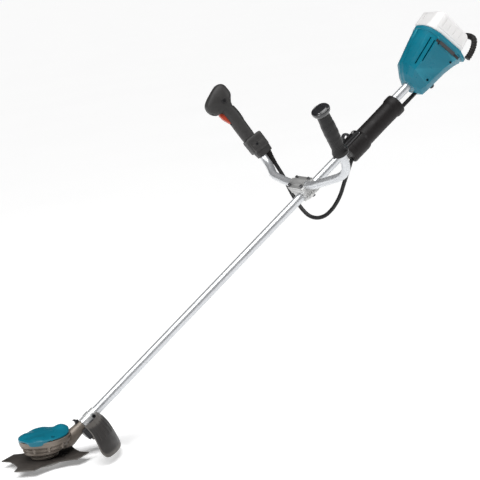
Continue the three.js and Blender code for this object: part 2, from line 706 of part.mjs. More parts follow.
// The whole shell of the right grip before it is split into its two halves.
function rightShell() {
  const ring = (z, low, high, halfY, slope = 0, power = 2.6) => ovalRing({
    z, x: (low + high) / 2, halfX: (high - low) / 2, halfY, power, slope, count: 24,
  });
  const stations = (wall) => [
    ring(BLOCK_HIGH + GAP + wall, -18 + wall, 19 - wall, 17 - wall),
    ring(125, -18 + wall, 20 - wall, 17 - wall),
    ring(165, -17 + wall, 22 - wall, 17.5 - wall),
    ring(190, -18.5 + wall, 20.5 - wall, 18 - wall),
    ring(199 + wall / 2, -34 + wall, 22 - wall, 21 - wall, 0.03, 2.8),
    ring(211 + wall / 2, -45 + wall, 29 - wall, 23.5 - wall, 0, 3),
    ring(221, -47.5 + wall, 36.5 - wall, 24 - wall, -0.02, 3),
    ring(231.5, -46.5 + wall, 39 - wall, 24 - wall, 0.01, 3),
    ring(242 - wall / 2, -42 + wall, 39 - wall, 23 - wall, 0.075, 3),
    ring(251 - wall, -32 + wall, 36 - wall, 20.5 - wall, 0.136, 2.8),
    ring(257 - wall, -20 + wall, 27 - wall, 16 - wall, 0.227, 2.5),
  ];
  return cut(loft(stations(0)), loft(stations(3)));
}

const BUTTON_AT = [4, 218];

function rightGripPieces() {
  const shell = cut(
    rightShell(),
    bar('z', BAR_RADIUS + GAP, 60, [0, 0, 110], 24),
    block([-60, -7.6, 152], [-8, 7.6, 208]),
    block([8, -6.6, 132], [60, 6.6, 196]),
    bar('y', 7, 20, [BUTTON_AT[0], -24, BUTTON_AT[1]], 20),
  );
  const inner = block([-80, -60, 80], [80, -GAP / 2, 300]);
  const outer = block([-80, GAP / 2, 80], [80, 60, 300]);
  add(rightGrip, 'grip_shell_inner', shell.intersect(inner), GREY);
  add(rightGrip, 'grip_shell_outer', shell.intersect(outer), GREY);
  add(rightGrip, 'grip_block', gripBlock(), GREY);
  const blockScrew = bolt(4.2, 3, 2, 8).rotate([90, 0, 0]);
  add(rightGrip, 'grip_block_screw', blockScrew.translate(2, -19 - GAP, 66), BLACK_STEEL);
  const trigger = sidePlate([
    [-16, 204], [-20, 204], [-26, 199], [-28, 190], [-26, 177], [-21.5, 165], [-17.5, 156],
    [-14, 157], [-15, 175], [-15, 190],
  ], 14);
  add(rightGrip, 'trigger', trigger, RED);
  const lever = sidePlate([
    [18, 190], [22.6, 191], [24, 178], [24.2, 162], [22.8, 146], [20.6, 138], [17, 140], [18, 160],
  ], 12);
  add(rightGrip, 'lock_off_lever', lever, BLACK);
  const button = bar('y', 6.5, 9, [BUTTON_AT[0], -22.5, BUTTON_AT[1]], 20);
  add(rightGrip, 'power_button', button, BLACK);
  add(rightGrip, 'trigger_switch', block([0, -8, 145], [9, 8, 180]), BLACK);
  add(rightGrip, 'trigger_spring', triggerSpring(), STEEL);
}

// A small compression spring between the trigger and its switch.
function triggerSpring() {
  const turns = 4;
  const points = Array.from({ length: turns * 10 + 1 }, (_, i) => {
    const angle = (2 * Math.PI * i) / 10;
    const x = -13 + (12 * i) / (turns * 10);
    return new THREE.Vector3(x, 3.4 * Math.cos(angle), 172 + 3.4 * Math.sin(angle));
  });
  return along(new THREE.CatmullRomCurve3(points), 0.6, 5, turns * 10);
}

// ---------------------------------------------------------------- cable

// The route in the shaft's frame, from inside the grip's block, down in a loop behind the pipe and up
// through the sleeve's channel into the rear housing.
const CABLE_LOOP = [
  [1026, 241, 46], [1019, 229, 23], [1007, 208, -6], [989, 182, -35], [975, 157, -61],
  [965, 132, -85], [962, 110, -102], [968, 88, -113], [983, 68, -117], [1003, 51, -112],
  [1023, 37, -102], [1044, 25, -88], [1064, 15, -71], [1085, 7, -55], [1104, 2, -42],
];

function cableCurve() {
  rightGrip.updateMatrix();
  const start = [10, 0].map((distance) => {
    const point = new THREE.Vector3(CABLE_EXIT_X, 0, BLOCK_LOW + distance);
    return point.applyMatrix4(rightGrip.matrix);
  });
  const loop = CABLE_LOOP.map((point) => new THREE.Vector3(...point));
  const channel = [1124, 1150, 1200, 1250, 1300, 1330, 1370, 1410].map(
    (x) => new THREE.Vector3(x, 0, CABLE_CHANNEL),
  );
  return new THREE.CatmullRomCurve3([...start, ...loop, ...channel], false, 'centripetal');
}

// ---------------------------------------------------------------- sleeve and hanger

function sleevePieces() {
  const centre = (from, to) => [(from + to) / 2, 0, SLEEVE_CENTRE];
  const stretch = (from, to, radius, endRadius = radius) => (
    bar('x', radius, to - from, centre(from, to), 26, endRadius)
  );
  const body = join(
    stretch(SLEEVE_START, 1182, COLLAR_RADIUS),
    stretch(1182, 1188, COLLAR_RADIUS, SLEEVE_RADIUS),
    stretch(1188, 1300, SLEEVE_RADIUS),
    stretch(1300, 1305, SLEEVE_RADIUS, COLLAR_RADIUS - 1),
    stretch(1305, SLEEVE_END, COLLAR_RADIUS - 1),
  );
  const bores = [
    bar('x', PIPE_RADIUS + GAP, 300, [1225, 0, 0], 28),
    bar('x', CABLE_RADIUS + 1, 300, [1225, 0, CABLE_CHANNEL], 20),
    block([SLEEVE_START - 1, -40, 9], [1186, 40, 40]),
  ];
  add(shaft, 'hip_sleeve', cut(body, ...bores), RUBBER);

  const saddle = join(
    bar('x', 17, 54, [1155, 0, 0], 28).intersect(block([1100, -30, 9.3], [1200, 30, 40])),
    block([1128, -12, 9.3], [1182, 12, 20]),
    block([1140, -4, 14], [1160, 4, 26]),
    bar('y', 12, 8, [1148, 0, 26], 24),
  );
  const holes = [
    bar('x', PIPE_RADIUS + GAP, 100, [1150, 0, 0], 28),
    bar('y', 5.5, 20, [1148, 0, 26], 20),
    bar('z', 2.9, 20, [1172, 0, 16], 12),
  ];
  add(shaft, 'hanger_bracket', cut(saddle, ...holes), BLACK);
  const pin = bolt(4.5, 4, 2.6, 6).translate(1172, 0, 20 + GAP);
  add(shaft, 'hanger_bolt', pin, BLACK_STEEL);
}

// ---------------------------------------------------------------- rear housing

// Rings along the shaft: a narrow ridge, a shoulder, the full width, and the floor.
const HOUSING = [
  { x: 1382, wide: 27, top: 19, low: -23, ridge: 9, shoulder: 18, drop: 4, fall: 14 },
  { x: 1392, wide: 36, top: 38, low: -41, ridge: 10, shoulder: 25, drop: 7, fall: 18 },
  { x: 1410, wide: 44, top: 61, low: -41, ridge: 11, shoulder: 32, drop: 9, fall: 26 },
  { x: 1476, wide: 55, top: 84, low: -40, ridge: 13, shoulder: 39, drop: 11, fall: 38 },
  { x: 1510, wide: 59, top: 95, low: -44, ridge: 14, shoulder: 42, drop: 12, fall: 41 },
  { x: 1526, wide: 59, top: 99, low: -50, ridge: 14, shoulder: 42, drop: 12, fall: 41 },
];

function housingRing({ x, wide, top, low, ridge, shoulder, drop, fall }, wall) {
  const side = wide - wall;
  const roof = top - wall;
  const floor = low + wall;
  const half = [
    [ridge, roof], [shoulder - wall / 2, roof - drop], [side, roof - fall],
    [side, floor + 20], [side * 0.6, floor],
  ];
  const mirrored = half.map(([y, z]) => [-y, z]).reverse();
  return [...half, ...mirrored].map(([y, z]) => [x, y, z]);
}

function rimOutline(inset) {
  const wide = REAR_HALF_WIDTH - inset;
  const top = -5 - inset;
  const low = REAR_LOW + inset;
  const half = [[15, top], [43, top - 12], [wide, top - 41], [wide, low + 34], [wide - 22, low]];
  const mirrored = half.map(([y, z]) => [-y, z]).reverse();
  return new THREE.Shape([...half, ...mirrored].map(([y, z]) => new THREE.Vector2(y, z)));
}

// The rim is a plate in the rear frame, moved into the shaft's frame.
function rimPlate(inset, from, to) {
  const upright = new THREE.Matrix4().makeBasis(
    new THREE.Vector3(0, 1, 0), new THREE.Vector3(0, 0, 1), new THREE.Vector3(1, 0, 0),
  );
  const geometry = plate(rimOutline(inset), from, to - from).applyMatrix4(upright);
  rear.updateMatrix();
  return solid(geometry.applyMatrix4(rear.matrix));
}

// Two long slots let cooling air into each side of the housing.
function ventSlots(side) {
  return [0, 9].map((offset) => {
    const slot = new THREE.BoxGeometry(84 - offset * 2, 36, 3);
    slot.rotateY(-16 * DEGREE);
    return solid(slot.translate(1463 + offset, side * 55, 57 - offset));
  });
}

function housingWhole() {
  const wall = 3;
  const behind = block([1300, -200, -200], [1700, 200, 300]);
  rear.updateMatrix();
  const beyondFace = block([-RIM_DEPTH + 4, -200, -400], [300, 200, 100]).transform(rear.matrix.elements);
  const outside = cut(loft(HOUSING.map((ring) => housingRing(ring, 0))), beyondFace);
  const core = loft(HOUSING.slice(1).map((ring) => housingRing(ring, wall))).intersect(behind);
  return cut(
    join(outside, rimPlate(0, -RIM_DEPTH, 0)),
    cut(core, block([-RIM_DEPTH + 1, -200, -400], [300, 200, 100]).transform(rear.matrix.elements)),
    rimPlate(8, -RIM_DEPTH - 0.5, -4),
    bar('x', PIPE_RADIUS + GAP, 70, [1380, 0, 0], 28),
    bar('x', CABLE_RADIUS + 1, 60, [1400, 0, CABLE_CHANNEL], 20),
    ...ventSlots(-1),
    ...ventSlots(1),
  );
}

function housingPieces() {
  const whole = housingWhole();
  const left = block([1300, -200, -200], [1700, -GAP / 2, 300]);
  const right = block([1300, GAP / 2, -200], [1700, 200, 300]);
  add(shaft, 'housing_left', whole.intersect(left), TEAL);
  add(shaft, 'housing_right', whole.intersect(right), TEAL);
  add(shaft, 'controller_board', block([1420, -28, 26], [1490, 28, 29]), BOARD);
  const knob = [[0, 0], [8, 0], [8, -4], [6, -9], [0, -9]];
  add(shaft, 'housing_knob', turned(knob, 20).translate(1432, -14, -41.3), BLACK);
  const side = -REAR_HALF_WIDTH;
  add(rear, 'indicator_panel', block([-26, side - 1.5, -112], [-16, side + 0.2, -56]), BLACK);
  const stops = [[1524, 42, -52], [1542, 45, -53], [1562, 47, -51], [1586, 48, -42], [1603, 45, -29]];
  const loop = [
    ...stops.map(([x, y, z]) => [x, -y, z]),
    [1608, -28, -22],
    [1608, 28, -22],
    ...stops.reverse(),
  ];
  const curve = new THREE.CatmullRomCurve3(loop.map((point) => new THREE.Vector3(...point)));
  add(shaft, 'bumper_loop', cut(solid(along(curve, 8.5, 10, 28)), rimPlate(-40, -40, GAP)), BLACK);
}

// ---------------------------------------------------------------- battery

const TERMINAL = { depth: 9, halfWidth: 22, top: -26, low: -104 };
const LATCH = { from: 26, to: 44, halfWidth: 17, recess: 14 };

// The pack's side profile, given its width, with its two outer long edges cut off.
function packBody() {
  const blank = sidePlate(PACK_SIDE, PACK_WIDTH);
  const edges = [-1, 1].map((side) => {
    const wedge = new THREE.BoxGeometry(20, 20, 300).rotateZ(45 * DEGREE);
    return solid(wedge.translate(62.5, side * (PACK_WIDTH / 2 + 2), -70));
  });
  const shoulders = [-1, 1].map((side) => {
    const wedge = new THREE.BoxGeometry(200, 40, 40).rotateX(side * 45 * DEGREE);
    return solid(wedge.translate(0, side * (PACK_WIDTH / 2 + 5), -3));
  });
  return cut(blank, ...edges, ...shoulders);
}

function batteryPieces() {
  const channel = block(
    [-1, -TERMINAL.halfWidth - 1.5, -160],
    [TERMINAL.depth + 1.5, TERMINAL.halfWidth + 1.5, TERMINAL.top + 3],
  );
  const recess = block(
    [LATCH.from - GAP, -LATCH.halfWidth - GAP, -10 - LATCH.recess],
    [LATCH.to + GAP, LATCH.halfWidth + GAP, 10],
  );
  add(rear, 'battery', cut(packBody(), channel, recess), PALE);
  const latch = block([LATCH.from, -LATCH.halfWidth, -19], [LATCH.to, LATCH.halfWidth, -11.5]);
  add(rear, 'battery_latch', latch, PALE);
  const terminal = block(
    [GAP, -TERMINAL.halfWidth, TERMINAL.low],
    [TERMINAL.depth, TERMINAL.halfWidth, TERMINAL.top],
  );
  add(rear, 'terminal_block', terminal, BLACK);
}

// ---------------------------------------------------------------- assembly

cutterPieces();
headPieces();
holderPieces();
guardPieces();
pipePieces();
clampPieces();
add(shaft, 'handlebar', barTube(), PIPE_METAL);
leftGripPieces();
rightGripPieces();
add(shaft, 'switch_cable', along(cableCurve(), CABLE_RADIUS, 8, 60), RUBBER);
sleevePieces();
housingPieces();
batteryPieces();

export default row;
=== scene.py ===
"""Cordless brush cutter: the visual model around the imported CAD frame.

Each local frame below is in millimetres; its matrix turns them into metres of the row frame.
"""
import json
import math

import bmesh
import bpy
from mathutils import Matrix, Vector


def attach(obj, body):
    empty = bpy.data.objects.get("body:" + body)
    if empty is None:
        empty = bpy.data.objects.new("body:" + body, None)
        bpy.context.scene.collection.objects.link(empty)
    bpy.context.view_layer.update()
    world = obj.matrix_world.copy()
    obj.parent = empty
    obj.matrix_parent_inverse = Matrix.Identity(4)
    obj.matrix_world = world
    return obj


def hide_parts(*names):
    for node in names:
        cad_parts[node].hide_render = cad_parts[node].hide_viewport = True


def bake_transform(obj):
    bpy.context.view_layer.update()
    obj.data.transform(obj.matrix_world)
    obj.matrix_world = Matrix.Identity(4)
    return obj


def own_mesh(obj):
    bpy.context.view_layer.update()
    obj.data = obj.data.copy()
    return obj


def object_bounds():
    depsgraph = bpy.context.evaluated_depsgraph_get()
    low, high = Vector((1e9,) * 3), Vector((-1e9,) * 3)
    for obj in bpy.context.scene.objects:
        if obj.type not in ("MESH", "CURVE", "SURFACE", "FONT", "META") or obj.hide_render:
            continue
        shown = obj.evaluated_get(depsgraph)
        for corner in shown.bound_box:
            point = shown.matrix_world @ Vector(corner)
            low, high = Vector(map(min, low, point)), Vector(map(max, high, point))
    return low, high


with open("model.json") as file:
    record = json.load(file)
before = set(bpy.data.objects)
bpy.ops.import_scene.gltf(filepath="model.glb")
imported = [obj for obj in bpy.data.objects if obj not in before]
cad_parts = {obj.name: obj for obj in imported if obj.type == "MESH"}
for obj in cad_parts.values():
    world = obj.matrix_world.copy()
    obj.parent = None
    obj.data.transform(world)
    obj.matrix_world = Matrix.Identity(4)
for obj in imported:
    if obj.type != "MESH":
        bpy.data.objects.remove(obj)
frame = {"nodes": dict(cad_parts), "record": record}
CAD_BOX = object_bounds()
MM = 0.001

# ---------------------------------------------------------------- driving dimensions, in millimetres

BLADE_HEIGHT = 18
SHAFT_FOOT = 25.5
PIPE_RADIUS = 12
HOLE_GAP = 0.3
CASE_RADIUS = 66.5
CASE_TOP = 43
CASE_OFFSET = 7
BAR_RADIUS = 11
BAR_ALONG = 966
BAR_ABOVE = 26
BAR_STRAIGHT = 72
BAR_RISE = (970, 150, 42.6)
CORNER = (1009, 239, 42)
GRIP_DIRECTION = (24, 59, 207)
BEND_LEAD = 50
RISE_LEAD = 20
RIGHT_BAR_END = 122
LEFT_BAR_END = 200
LEFT_FLANGE = 68
LEFT_TOP = 213
BLOCK_LOW = 29
CABLE_RADIUS = 5.5
CABLE_EXIT_X = 20
CABLE_CHANNEL = -31
SLEEVE_START = 1124
SLEEVE_END = 1325
SLEEVE_CENTRE = -12
SLEEVE_RADIUS = 27
COLLAR_RADIUS = 31
REAR_TOP = (1519.7, 104)
REAR_HALF_WIDTH = 60
REAR_LOW = -160
RIM_DEPTH = 12
PACK_WIDTH = 106
PACK_SIDE = [(0.8, -8), (50, -12), (56.5, -20), (51, -118), (44, -127), (0.8, -132)]

# ---------------------------------------------------------------- local frames

JOINTS = {joint["name"]: joint for joint in frame["record"]["behaviour"]["joints"]}
ALONG = -Vector(JOINTS["hanger_slide"]["axis"]).normalized()
ACROSS = Vector((0, 1, 0))
ABOVE = ALONG.cross(ACROSS)


def local_frame(origin, x, y, z):
    """The matrix from a local frame in millimetres to the row frame in metres."""
    turned = Matrix((x, y, z)).transposed()
    return Matrix.Translation(origin) @ turned.to_4x4() @ Matrix.Scale(MM, 4)


TOOL = local_frame(Vector((0, 0, BLADE_HEIGHT * MM)), Vector((1, 0, 0)), ACROSS, Vector((0, 0, 1)))
SHAFT = local_frame(Vector((SHAFT_FOOT, 0, BLADE_HEIGHT)) * MM, ALONG, ACROSS, ABOVE)
REAR_UP = Vector(JOINTS["battery_slide"]["axis"]).normalized()
REAR = local_frame(SHAFT @ Vector((REAR_TOP[0], 0, REAR_TOP[1])), ACROSS.cross(REAR_UP), ACROSS, REAR_UP)


def grip_frame(side):
    """A grip's frame: up along the grip, x as near the shaft's own direction as it can be."""
    up = Vector((GRIP_DIRECTION[0], side * GRIP_DIRECTION[1], GRIP_DIRECTION[2])).normalized()
    ahead = Vector((1, 0, 0))
    ahead = (ahead - up * up.dot(ahead)).normalized()
    matrix = Matrix((ahead, up.cross(ahead), up)).transposed().to_4x4()
    return SHAFT @ Matrix.Translation((CORNER[0], side * CORNER[1], CORNER[2])) @ matrix


RIGHT = grip_frame(1)
LEFT = grip_frame(-1)

# ---------------------------------------------------------------- materials


def link(tree, source, output, target, socket):
    tree.links.new(source.outputs[output], target.inputs[socket])


def noise_node(tree, coordinates, scale, detail=3.0, stretch=(1, 1, 1)):
    """Noise of so many waves a metre, drawn out along an axis by a small stretch there."""
    mapping = tree.nodes.new("ShaderNodeMapping")
    mapping.inputs["Scale"].default_value = stretch
    link(tree, coordinates, "Object", mapping, "Vector")
    node = tree.nodes.new("ShaderNodeTexNoise")
    node.inputs["Scale"].default_value = scale
    node.inputs["Detail"].default_value = detail
    link(tree, mapping, "Vector", node, "Vector")
    return node


def ranged(tree, source, output, low, high, start=0.3, end=0.7):
    node = tree.nodes.new("ShaderNodeMapRange")
    node.inputs["From Min"].default_value = start
    node.inputs["From Max"].default_value = end
    node.inputs["To Min"].default_value = low
    node.inputs["To Max"].default_value = high
    link(tree, source, output, node, "Value")
    return node


def mixed(tree, factor, output, first, second):
    """A colour between two, or from another node's colour to a fixed one."""
    node = tree.nodes.new("ShaderNodeMix")
    node.data_type = "RGBA"
    link(tree, factor, output, node, "Factor")
    for socket, colour in (("A", first), ("B", second)):
        target = [item for item in node.inputs if item.name == socket and item.type == "RGBA"][0]
        if isinstance(colour, bpy.types.NodeSocket):
            tree.links.new(colour, target)
        else:
            target.default_value = (*colour, 1)
    return [item for item in node.outputs if item.type == "RGBA"][0]


def surface(name, colour, rough, metallic=0.0, vary=0.12, grain=1400, bump=0.25, depth=0.0002,
            wear=None, wear_from=0.52, stretch=(1, 1, 1), coat=0.0, smudge=0.08, patch=14, shine=0.5):
    """A finish with uneven colour, fine grain, uneven gloss, and paler or darker worn edges."""
    material = bpy.data.materials.new(name)
    material.use_nodes = True
    tree = material.node_tree
    shader = tree.nodes["Principled BSDF"]
    shader.inputs["Metallic"].default_value = metallic
    shader.inputs["Specular IOR Level"].default_value = shine
    shader.inputs["Coat Weight"].default_value = coat
    shader.inputs["Coat Roughness"].default_value = 0.12
    coordinates = tree.nodes.new("ShaderNodeTexCoord")
    broad = noise_node(tree, coordinates, patch, 4.0)
    dark = [value * (1 - vary) for value in colour]
    light = [min(1.0, value * (1 + vary)) for value in colour]
    blend = ranged(tree, broad, "Fac", 0, 1)
    shade = mixed(tree, blend, "Result", dark, light)
    if wear:
        geometry = tree.nodes.new("ShaderNodeNewGeometry")
        worn = ranged(tree, geometry, "Pointiness", 0, 0.8, wear_from, wear_from + 0.08)
        shade = mixed(tree, worn, "Result", shade, wear)
    tree.links.new(shade, shader.inputs["Base Color"])
    middle = noise_node(tree, coordinates, 70, 5.0, stretch)
    gloss = ranged(tree, middle, "Fac", max(0.04, rough - smudge), min(1, rough + smudge))
    link(tree, gloss, "Result", shader, "Roughness")
    fine = noise_node(tree, coordinates, grain, 2.0, stretch)
    relief = tree.nodes.new("ShaderNodeBump")
    relief.inputs["Strength"].default_value = bump
    relief.inputs["Distance"].default_value = depth
    link(tree, fine, "Fac", relief, "Height")
    link(tree, relief, "Normal", shader, "Normal")
    return material


PIPE_METAL = surface("pipe_metal", (0.64, 0.655, 0.675), 0.3, 0.62, 0.03, 500, 0.02, smudge=0.04)
CAST_METAL = surface("cast_metal", (0.4, 0.4, 0.395), 0.42, 0.5, 0.14, 900, 0.5, 0.0003,
                     wear=(0.88, 0.88, 0.87))
CASE_METAL = surface("case_metal", (0.2, 0.168, 0.14), 0.4, 0.3, 0.16, 900, 0.4, 0.0003,
                     wear=(0.62, 0.57, 0.5))
SILVER = surface("silver_metal", (0.62, 0.63, 0.63), 0.3, 0.55, 0.08, 700, 0.2, wear=(0.9, 0.9, 0.9))
STEEL = surface("steel_metal", (0.5, 0.49, 0.47), 0.32, 0.9, 0.1, 700, 0.2, wear=(0.8, 0.8, 0.8))
BLADE_STEEL = surface("blade_steel_metal", (0.07, 0.062, 0.056), 0.5, 0.4, 0.25, 420, 0.35,
                      wear=(0.3, 0.28, 0.26), wear_from=0.53, stretch=(1, 0.15, 1), patch=26)
BLACK_STEEL = surface("black_bolt_steel", (0.022, 0.022, 0.024), 0.34, 0.5, 0.2, 900, 0.2,
                      wear=(0.22, 0.22, 0.23), shine=0.3)
TEAL = surface("teal_plastic", (0.003, 0.155, 0.225), 0.33, 0.0, 0.12, 1500, 0.2,
               wear=(0.06, 0.38, 0.48), coat=0.1, shine=0.3)
BLACK = surface("black_plastic", (0.013, 0.0125, 0.013), 0.32, 0.0, 0.2, 1500, 0.2,
                wear=(0.08, 0.08, 0.085), shine=0.28)
GLOSS_BLACK = surface("gloss_black_plastic", (0.014, 0.014, 0.016), 0.3, 0.0, 0.2, 900, 0.1, coat=1.0)
GREY = surface("charcoal_plastic", (0.034, 0.0325, 0.032), 0.5, 0.0, 0.18, 1300, 0.5, 0.0003,
               wear=(0.12, 0.115, 0.11), shine=0.35)
GUARD_GREY = surface("guard_plastic", (0.038, 0.035, 0.034), 0.46, 0.0, 0.2, 1100, 0.4, 0.0003,
                     wear=(0.13, 0.12, 0.11), shine=0.35)
RED = surface("red_plastic", (0.42, 0.045, 0.02), 0.38, 0.0, 0.12, 1300, 0.25, wear=(0.6, 0.14, 0.08))
RUBBER = surface("rubber_black", (0.011, 0.0095, 0.0095), 0.5, 0.0, 0.25, 1700, 0.4, 0.0003,
                 wear=(0.045, 0.042, 0.042), shine=0.22)
CABLE_BLACK = surface("cable_black", (0.009, 0.009, 0.0095), 0.36, 0.0, 0.2, 1500, 0.2, shine=0.3)
PALE = surface("pale_plastic", (0.8, 0.79, 0.785), 0.42, 0.0, 0.03, 1300, 0.25, wear=(0.92, 0.92, 0.92))
COPPER = surface("copper_wire", (0.45, 0.2, 0.09), 0.35, 0.9, 0.15, 1500, 0.6, 0.0004)
BOARD = surface("board_green", (0.015, 0.08, 0.03), 0.4, 0.0, 0.15, 900, 0.3)
FLOOR_GLOW = 0.24
FLOOR = surface("floor_white", (0.9, 0.9, 0.9), 0.9, 0.0, 0.01, 40, 0.02, patch=1, shine=0.0)
FLOOR.node_tree.nodes["Principled BSDF"].inputs["Emission Color"].default_value = (1, 1, 1, 1)
FLOOR.node_tree.nodes["Principled BSDF"].inputs["Emission Strength"].default_value = FLOOR_GLOW

# ---------------------------------------------------------------- mesh helpers


def lathe(profile, steps=72):
    """A profile of (radius, height) turned about z. A profile that closes on itself makes a ring."""
    closed = profile[0] == profile[-1]
    rows = profile[:-1] if closed else profile
    points = [
        (radius * math.cos(2 * math.pi * step / steps), radius * math.sin(2 * math.pi * step / steps), height)
        for step in range(steps)
        for radius, height in rows
    ]
    count = len(rows)
    faces = []
    for step in range(steps):
        after = (step + 1) % steps
        for row in range(count if closed else count - 1):
            below = (row + 1) % count
            near, far = step * count, after * count
            faces.append((near + row, far + row, far + below, near + below))
    return points, faces


def loft(rings):
    """A skin over rings with the same number of points, closed at both ends."""
    count = len(rings[0])
    points = [point for ring in rings for point in ring]
    faces = []
    for ring in range(len(rings) - 1):
        for i in range(count):
            low = ring * count
            after = (i + 1) % count
            faces.append((low + i, low + after, low + count + after, low + count + i))
    faces.append(tuple(range(count)))
    faces.append(tuple(range((len(rings) - 1) * count, len(rings) * count)))
    return points, faces


def box(low, high):
    """A block given by its lowest and highest corners."""
    ring = [(low[0], low[1]), (high[0], low[1]), (high[0], high[1]), (low[0], high[1])]
    return loft([[(x, y, height) for x, y in ring] for height in (low[2], high[2])])


def rod(axis, radius, length, centre, sides=48, end_radius=None):
    """A round bar along an axis, thicker or thinner at its far end if asked."""
    rings = []
    for sign, size in ((-0.5, radius), (0.5, radius if end_radius is None else end_radius)):
        ring = []
        for i in range(sides):
            angle = 2 * math.pi * i / sides
            across = (size * math.cos(angle), size * math.sin(angle))
            offset = {"x": (sign * length, *across), "y": (across[1], sign * length, across[0]),
                      "z": (*across, sign * length)}[axis]
            ring.append(tuple(centre[k] + offset[k] for k in range(3)))
        rings.append(ring)
    return loft(rings)


def side_slab(outline, low, high):
    """An outline of (x, z) with a thickness along y."""
    return loft([[(x, y, z) for x, z in outline] for y in (low, high)])


def swept(path, radius, sides=24):
    """A round tube along a path. The radius is a number or a function of the distance run."""
    path = [Vector(point) for point in path]
    last = len(path) - 1
    tangents = [(path[min(i + 1, last)] - path[max(i - 1, 0)]).normalized() for i in range(last + 1)]
    side = tangents[0].orthogonal().normalized()
    rings = []
    run = 0.0
    for i, point in enumerate(path):
        if i:
            run += (point - path[i - 1]).length
        side = (side - tangents[i] * side.dot(tangents[i])).normalized()
        other = tangents[i].cross(side)
        size = radius(run) if callable(radius) else radius
        rings.append([
            tuple(point + size * (math.cos(a) * side + math.sin(a) * other))
            for a in (2 * math.pi * k / sides for k in range(sides))
        ])
    return loft(rings)


def smooth_route(points, steps=8):
    """A centripetal Catmull-Rom curve through points."""
    points = [Vector(point) for point in points]
    first = points[0] * 2 - points[1]
    last = points[-1] * 2 - points[-2]
    padded = [first, *points, last]
    route = []
    for i in range(1, len(padded) - 2):
        p = padded[i - 1:i + 3]
        t = [0.0]
        for a, b in zip(p, p[1:]):
            t.append(t[-1] + math.sqrt((b - a).length))
        for step in range(steps):
            now = t[1] + (t[2] - t[1]) * step / steps
            a = [p[k] + (p[k + 1] - p[k]) * ((now - t[k]) / (t[k + 1] - t[k])) for k in range(3)]
            b = [a[k] + (a[k + 1] - a[k]) * ((now - t[k]) / (t[k + 2] - t[k])) for k in range(2)]
            route.append(b[0] + (b[1] - b[0]) * ((now - t[1]) / (t[2] - t[1])))
    route.append(points[-1])
    return route


def bent(points, leads, steps=12):
    """A path through points whose corners are rounded, each over its own lead."""
    points = [Vector(point) for point in points]
    route = [points[0]]
    for before, corner, after, lead in zip(points, points[1:], points[2:], leads):
        start = corner + (before - corner).normalized() * lead
        end = corner + (after - corner).normalized() * lead
        for step in range(steps + 1):
            t = step / steps
            route.append(start * (1 - t) ** 2 + corner * 2 * t * (1 - t) + end * t * t)
    route.append(points[-1])
    return route


def mesh_object(name, shape, matrix):
    """An object from (points, faces), with its points turned into metres of the row frame."""
    points, faces = shape
    mesh = bpy.data.meshes.new(name)
    mesh.from_pydata([tuple(matrix @ Vector(point)) for point in points], [], faces)
    shape_edit = bmesh.new()
    shape_edit.from_mesh(mesh)
    bmesh.ops.remove_doubles(shape_edit, verts=shape_edit.verts, dist=1e-6)
    bmesh.ops.recalc_face_normals(shape_edit, faces=shape_edit.faces)
    shape_edit.to_mesh(mesh)
    shape_edit.free()
    thing = bpy.data.objects.new(name, mesh)
    bpy.context.scene.collection.objects.link(thing)
    return thing


def applied(thing):
    """Turns an object's modifiers into its mesh."""
    bpy.context.view_layer.update()
    graph = bpy.context.evaluated_depsgraph_get()
    mesh = bpy.data.meshes.new_from_object(thing.evaluated_get(graph))
    thing.modifiers.clear()
    thing.data = mesh
    return thing


def combined(thing, operation, shapes, matrix):
    """Joins shapes to an object, or cuts them out of it."""
    for shape in shapes:
        other = mesh_object("cutter", shape, matrix)
        step = thing.modifiers.new(operation, "BOOLEAN")
        step.operation = operation
        step.solver = "EXACT"
        step.object = other
        applied(thing)
        bpy.data.objects.remove(other)
    return thing


def cut(thing, matrix, *shapes):
    return combined(thing, "DIFFERENCE", shapes, matrix)


def join(thing, matrix, *shapes):
    return combined(thing, "UNION", shapes, matrix)


def rounded(thing, width, segments=3, angle=30):
    """Rounds an object's edges by a width in millimetres."""
    step = thing.modifiers.new("rounded", "BEVEL")
    step.width = width * MM
    step.segments = segments
    step.limit_method = "ANGLE"
    step.angle_limit = math.radians(angle)
    step.harden_normals = False
    return thing


def fused(thing, voxel, smoothing):
    """One cast skin over overlapping solids, with soft fillets where they meet."""
    step = thing.modifiers.new("fused", "REMESH")
    step.mode = "VOXEL"
    step.voxel_size = voxel * MM
    soften = thing.modifiers.new("softened", "SMOOTH")
    soften.iterations = smoothing
    return applied(thing)


# Edges whose faces meet at more degrees than this stay sharp.
SMOOTH_ANGLE = 34


def smooth_group():
    """A geometry group that shades an object smoothly, except across sharp edges."""
    group = bpy.data.node_groups.new("smooth_by_angle", "GeometryNodeTree")
    group.interface.new_socket("Geometry", in_out="INPUT", socket_type="NodeSocketGeometry")
    group.interface.new_socket("Geometry", in_out="OUTPUT", socket_type="NodeSocketGeometry")
    start = group.nodes.new("NodeGroupInput")
    end = group.nodes.new("NodeGroupOutput")
    faces = group.nodes.new("GeometryNodeSetShadeSmooth")
    edges = group.nodes.new("GeometryNodeSetShadeSmooth")
    edges.domain = "EDGE"
    angle = group.nodes.new("GeometryNodeInputMeshEdgeAngle")
    flat = group.nodes.new("FunctionNodeCompare")
    flat.operation = "LESS_THAN"
    flat.inputs["B"].default_value = math.radians(SMOOTH_ANGLE)
    group.links.new(angle.outputs["Unsigned Angle"], flat.inputs["A"])
    group.links.new(start.outputs[0], faces.inputs["Geometry"])
    group.links.new(faces.outputs["Geometry"], edges.inputs["Geometry"])
    group.links.new(flat.outputs["Result"], edges.inputs["Shade Smooth"])
    group.links.new(edges.outputs["Geometry"], end.inputs[0])
    return group


SMOOTH = smooth_group()


def smoothed(thing):
    thing.modifiers.new("smooth", "NODES").node_group = SMOOTH
    return thing


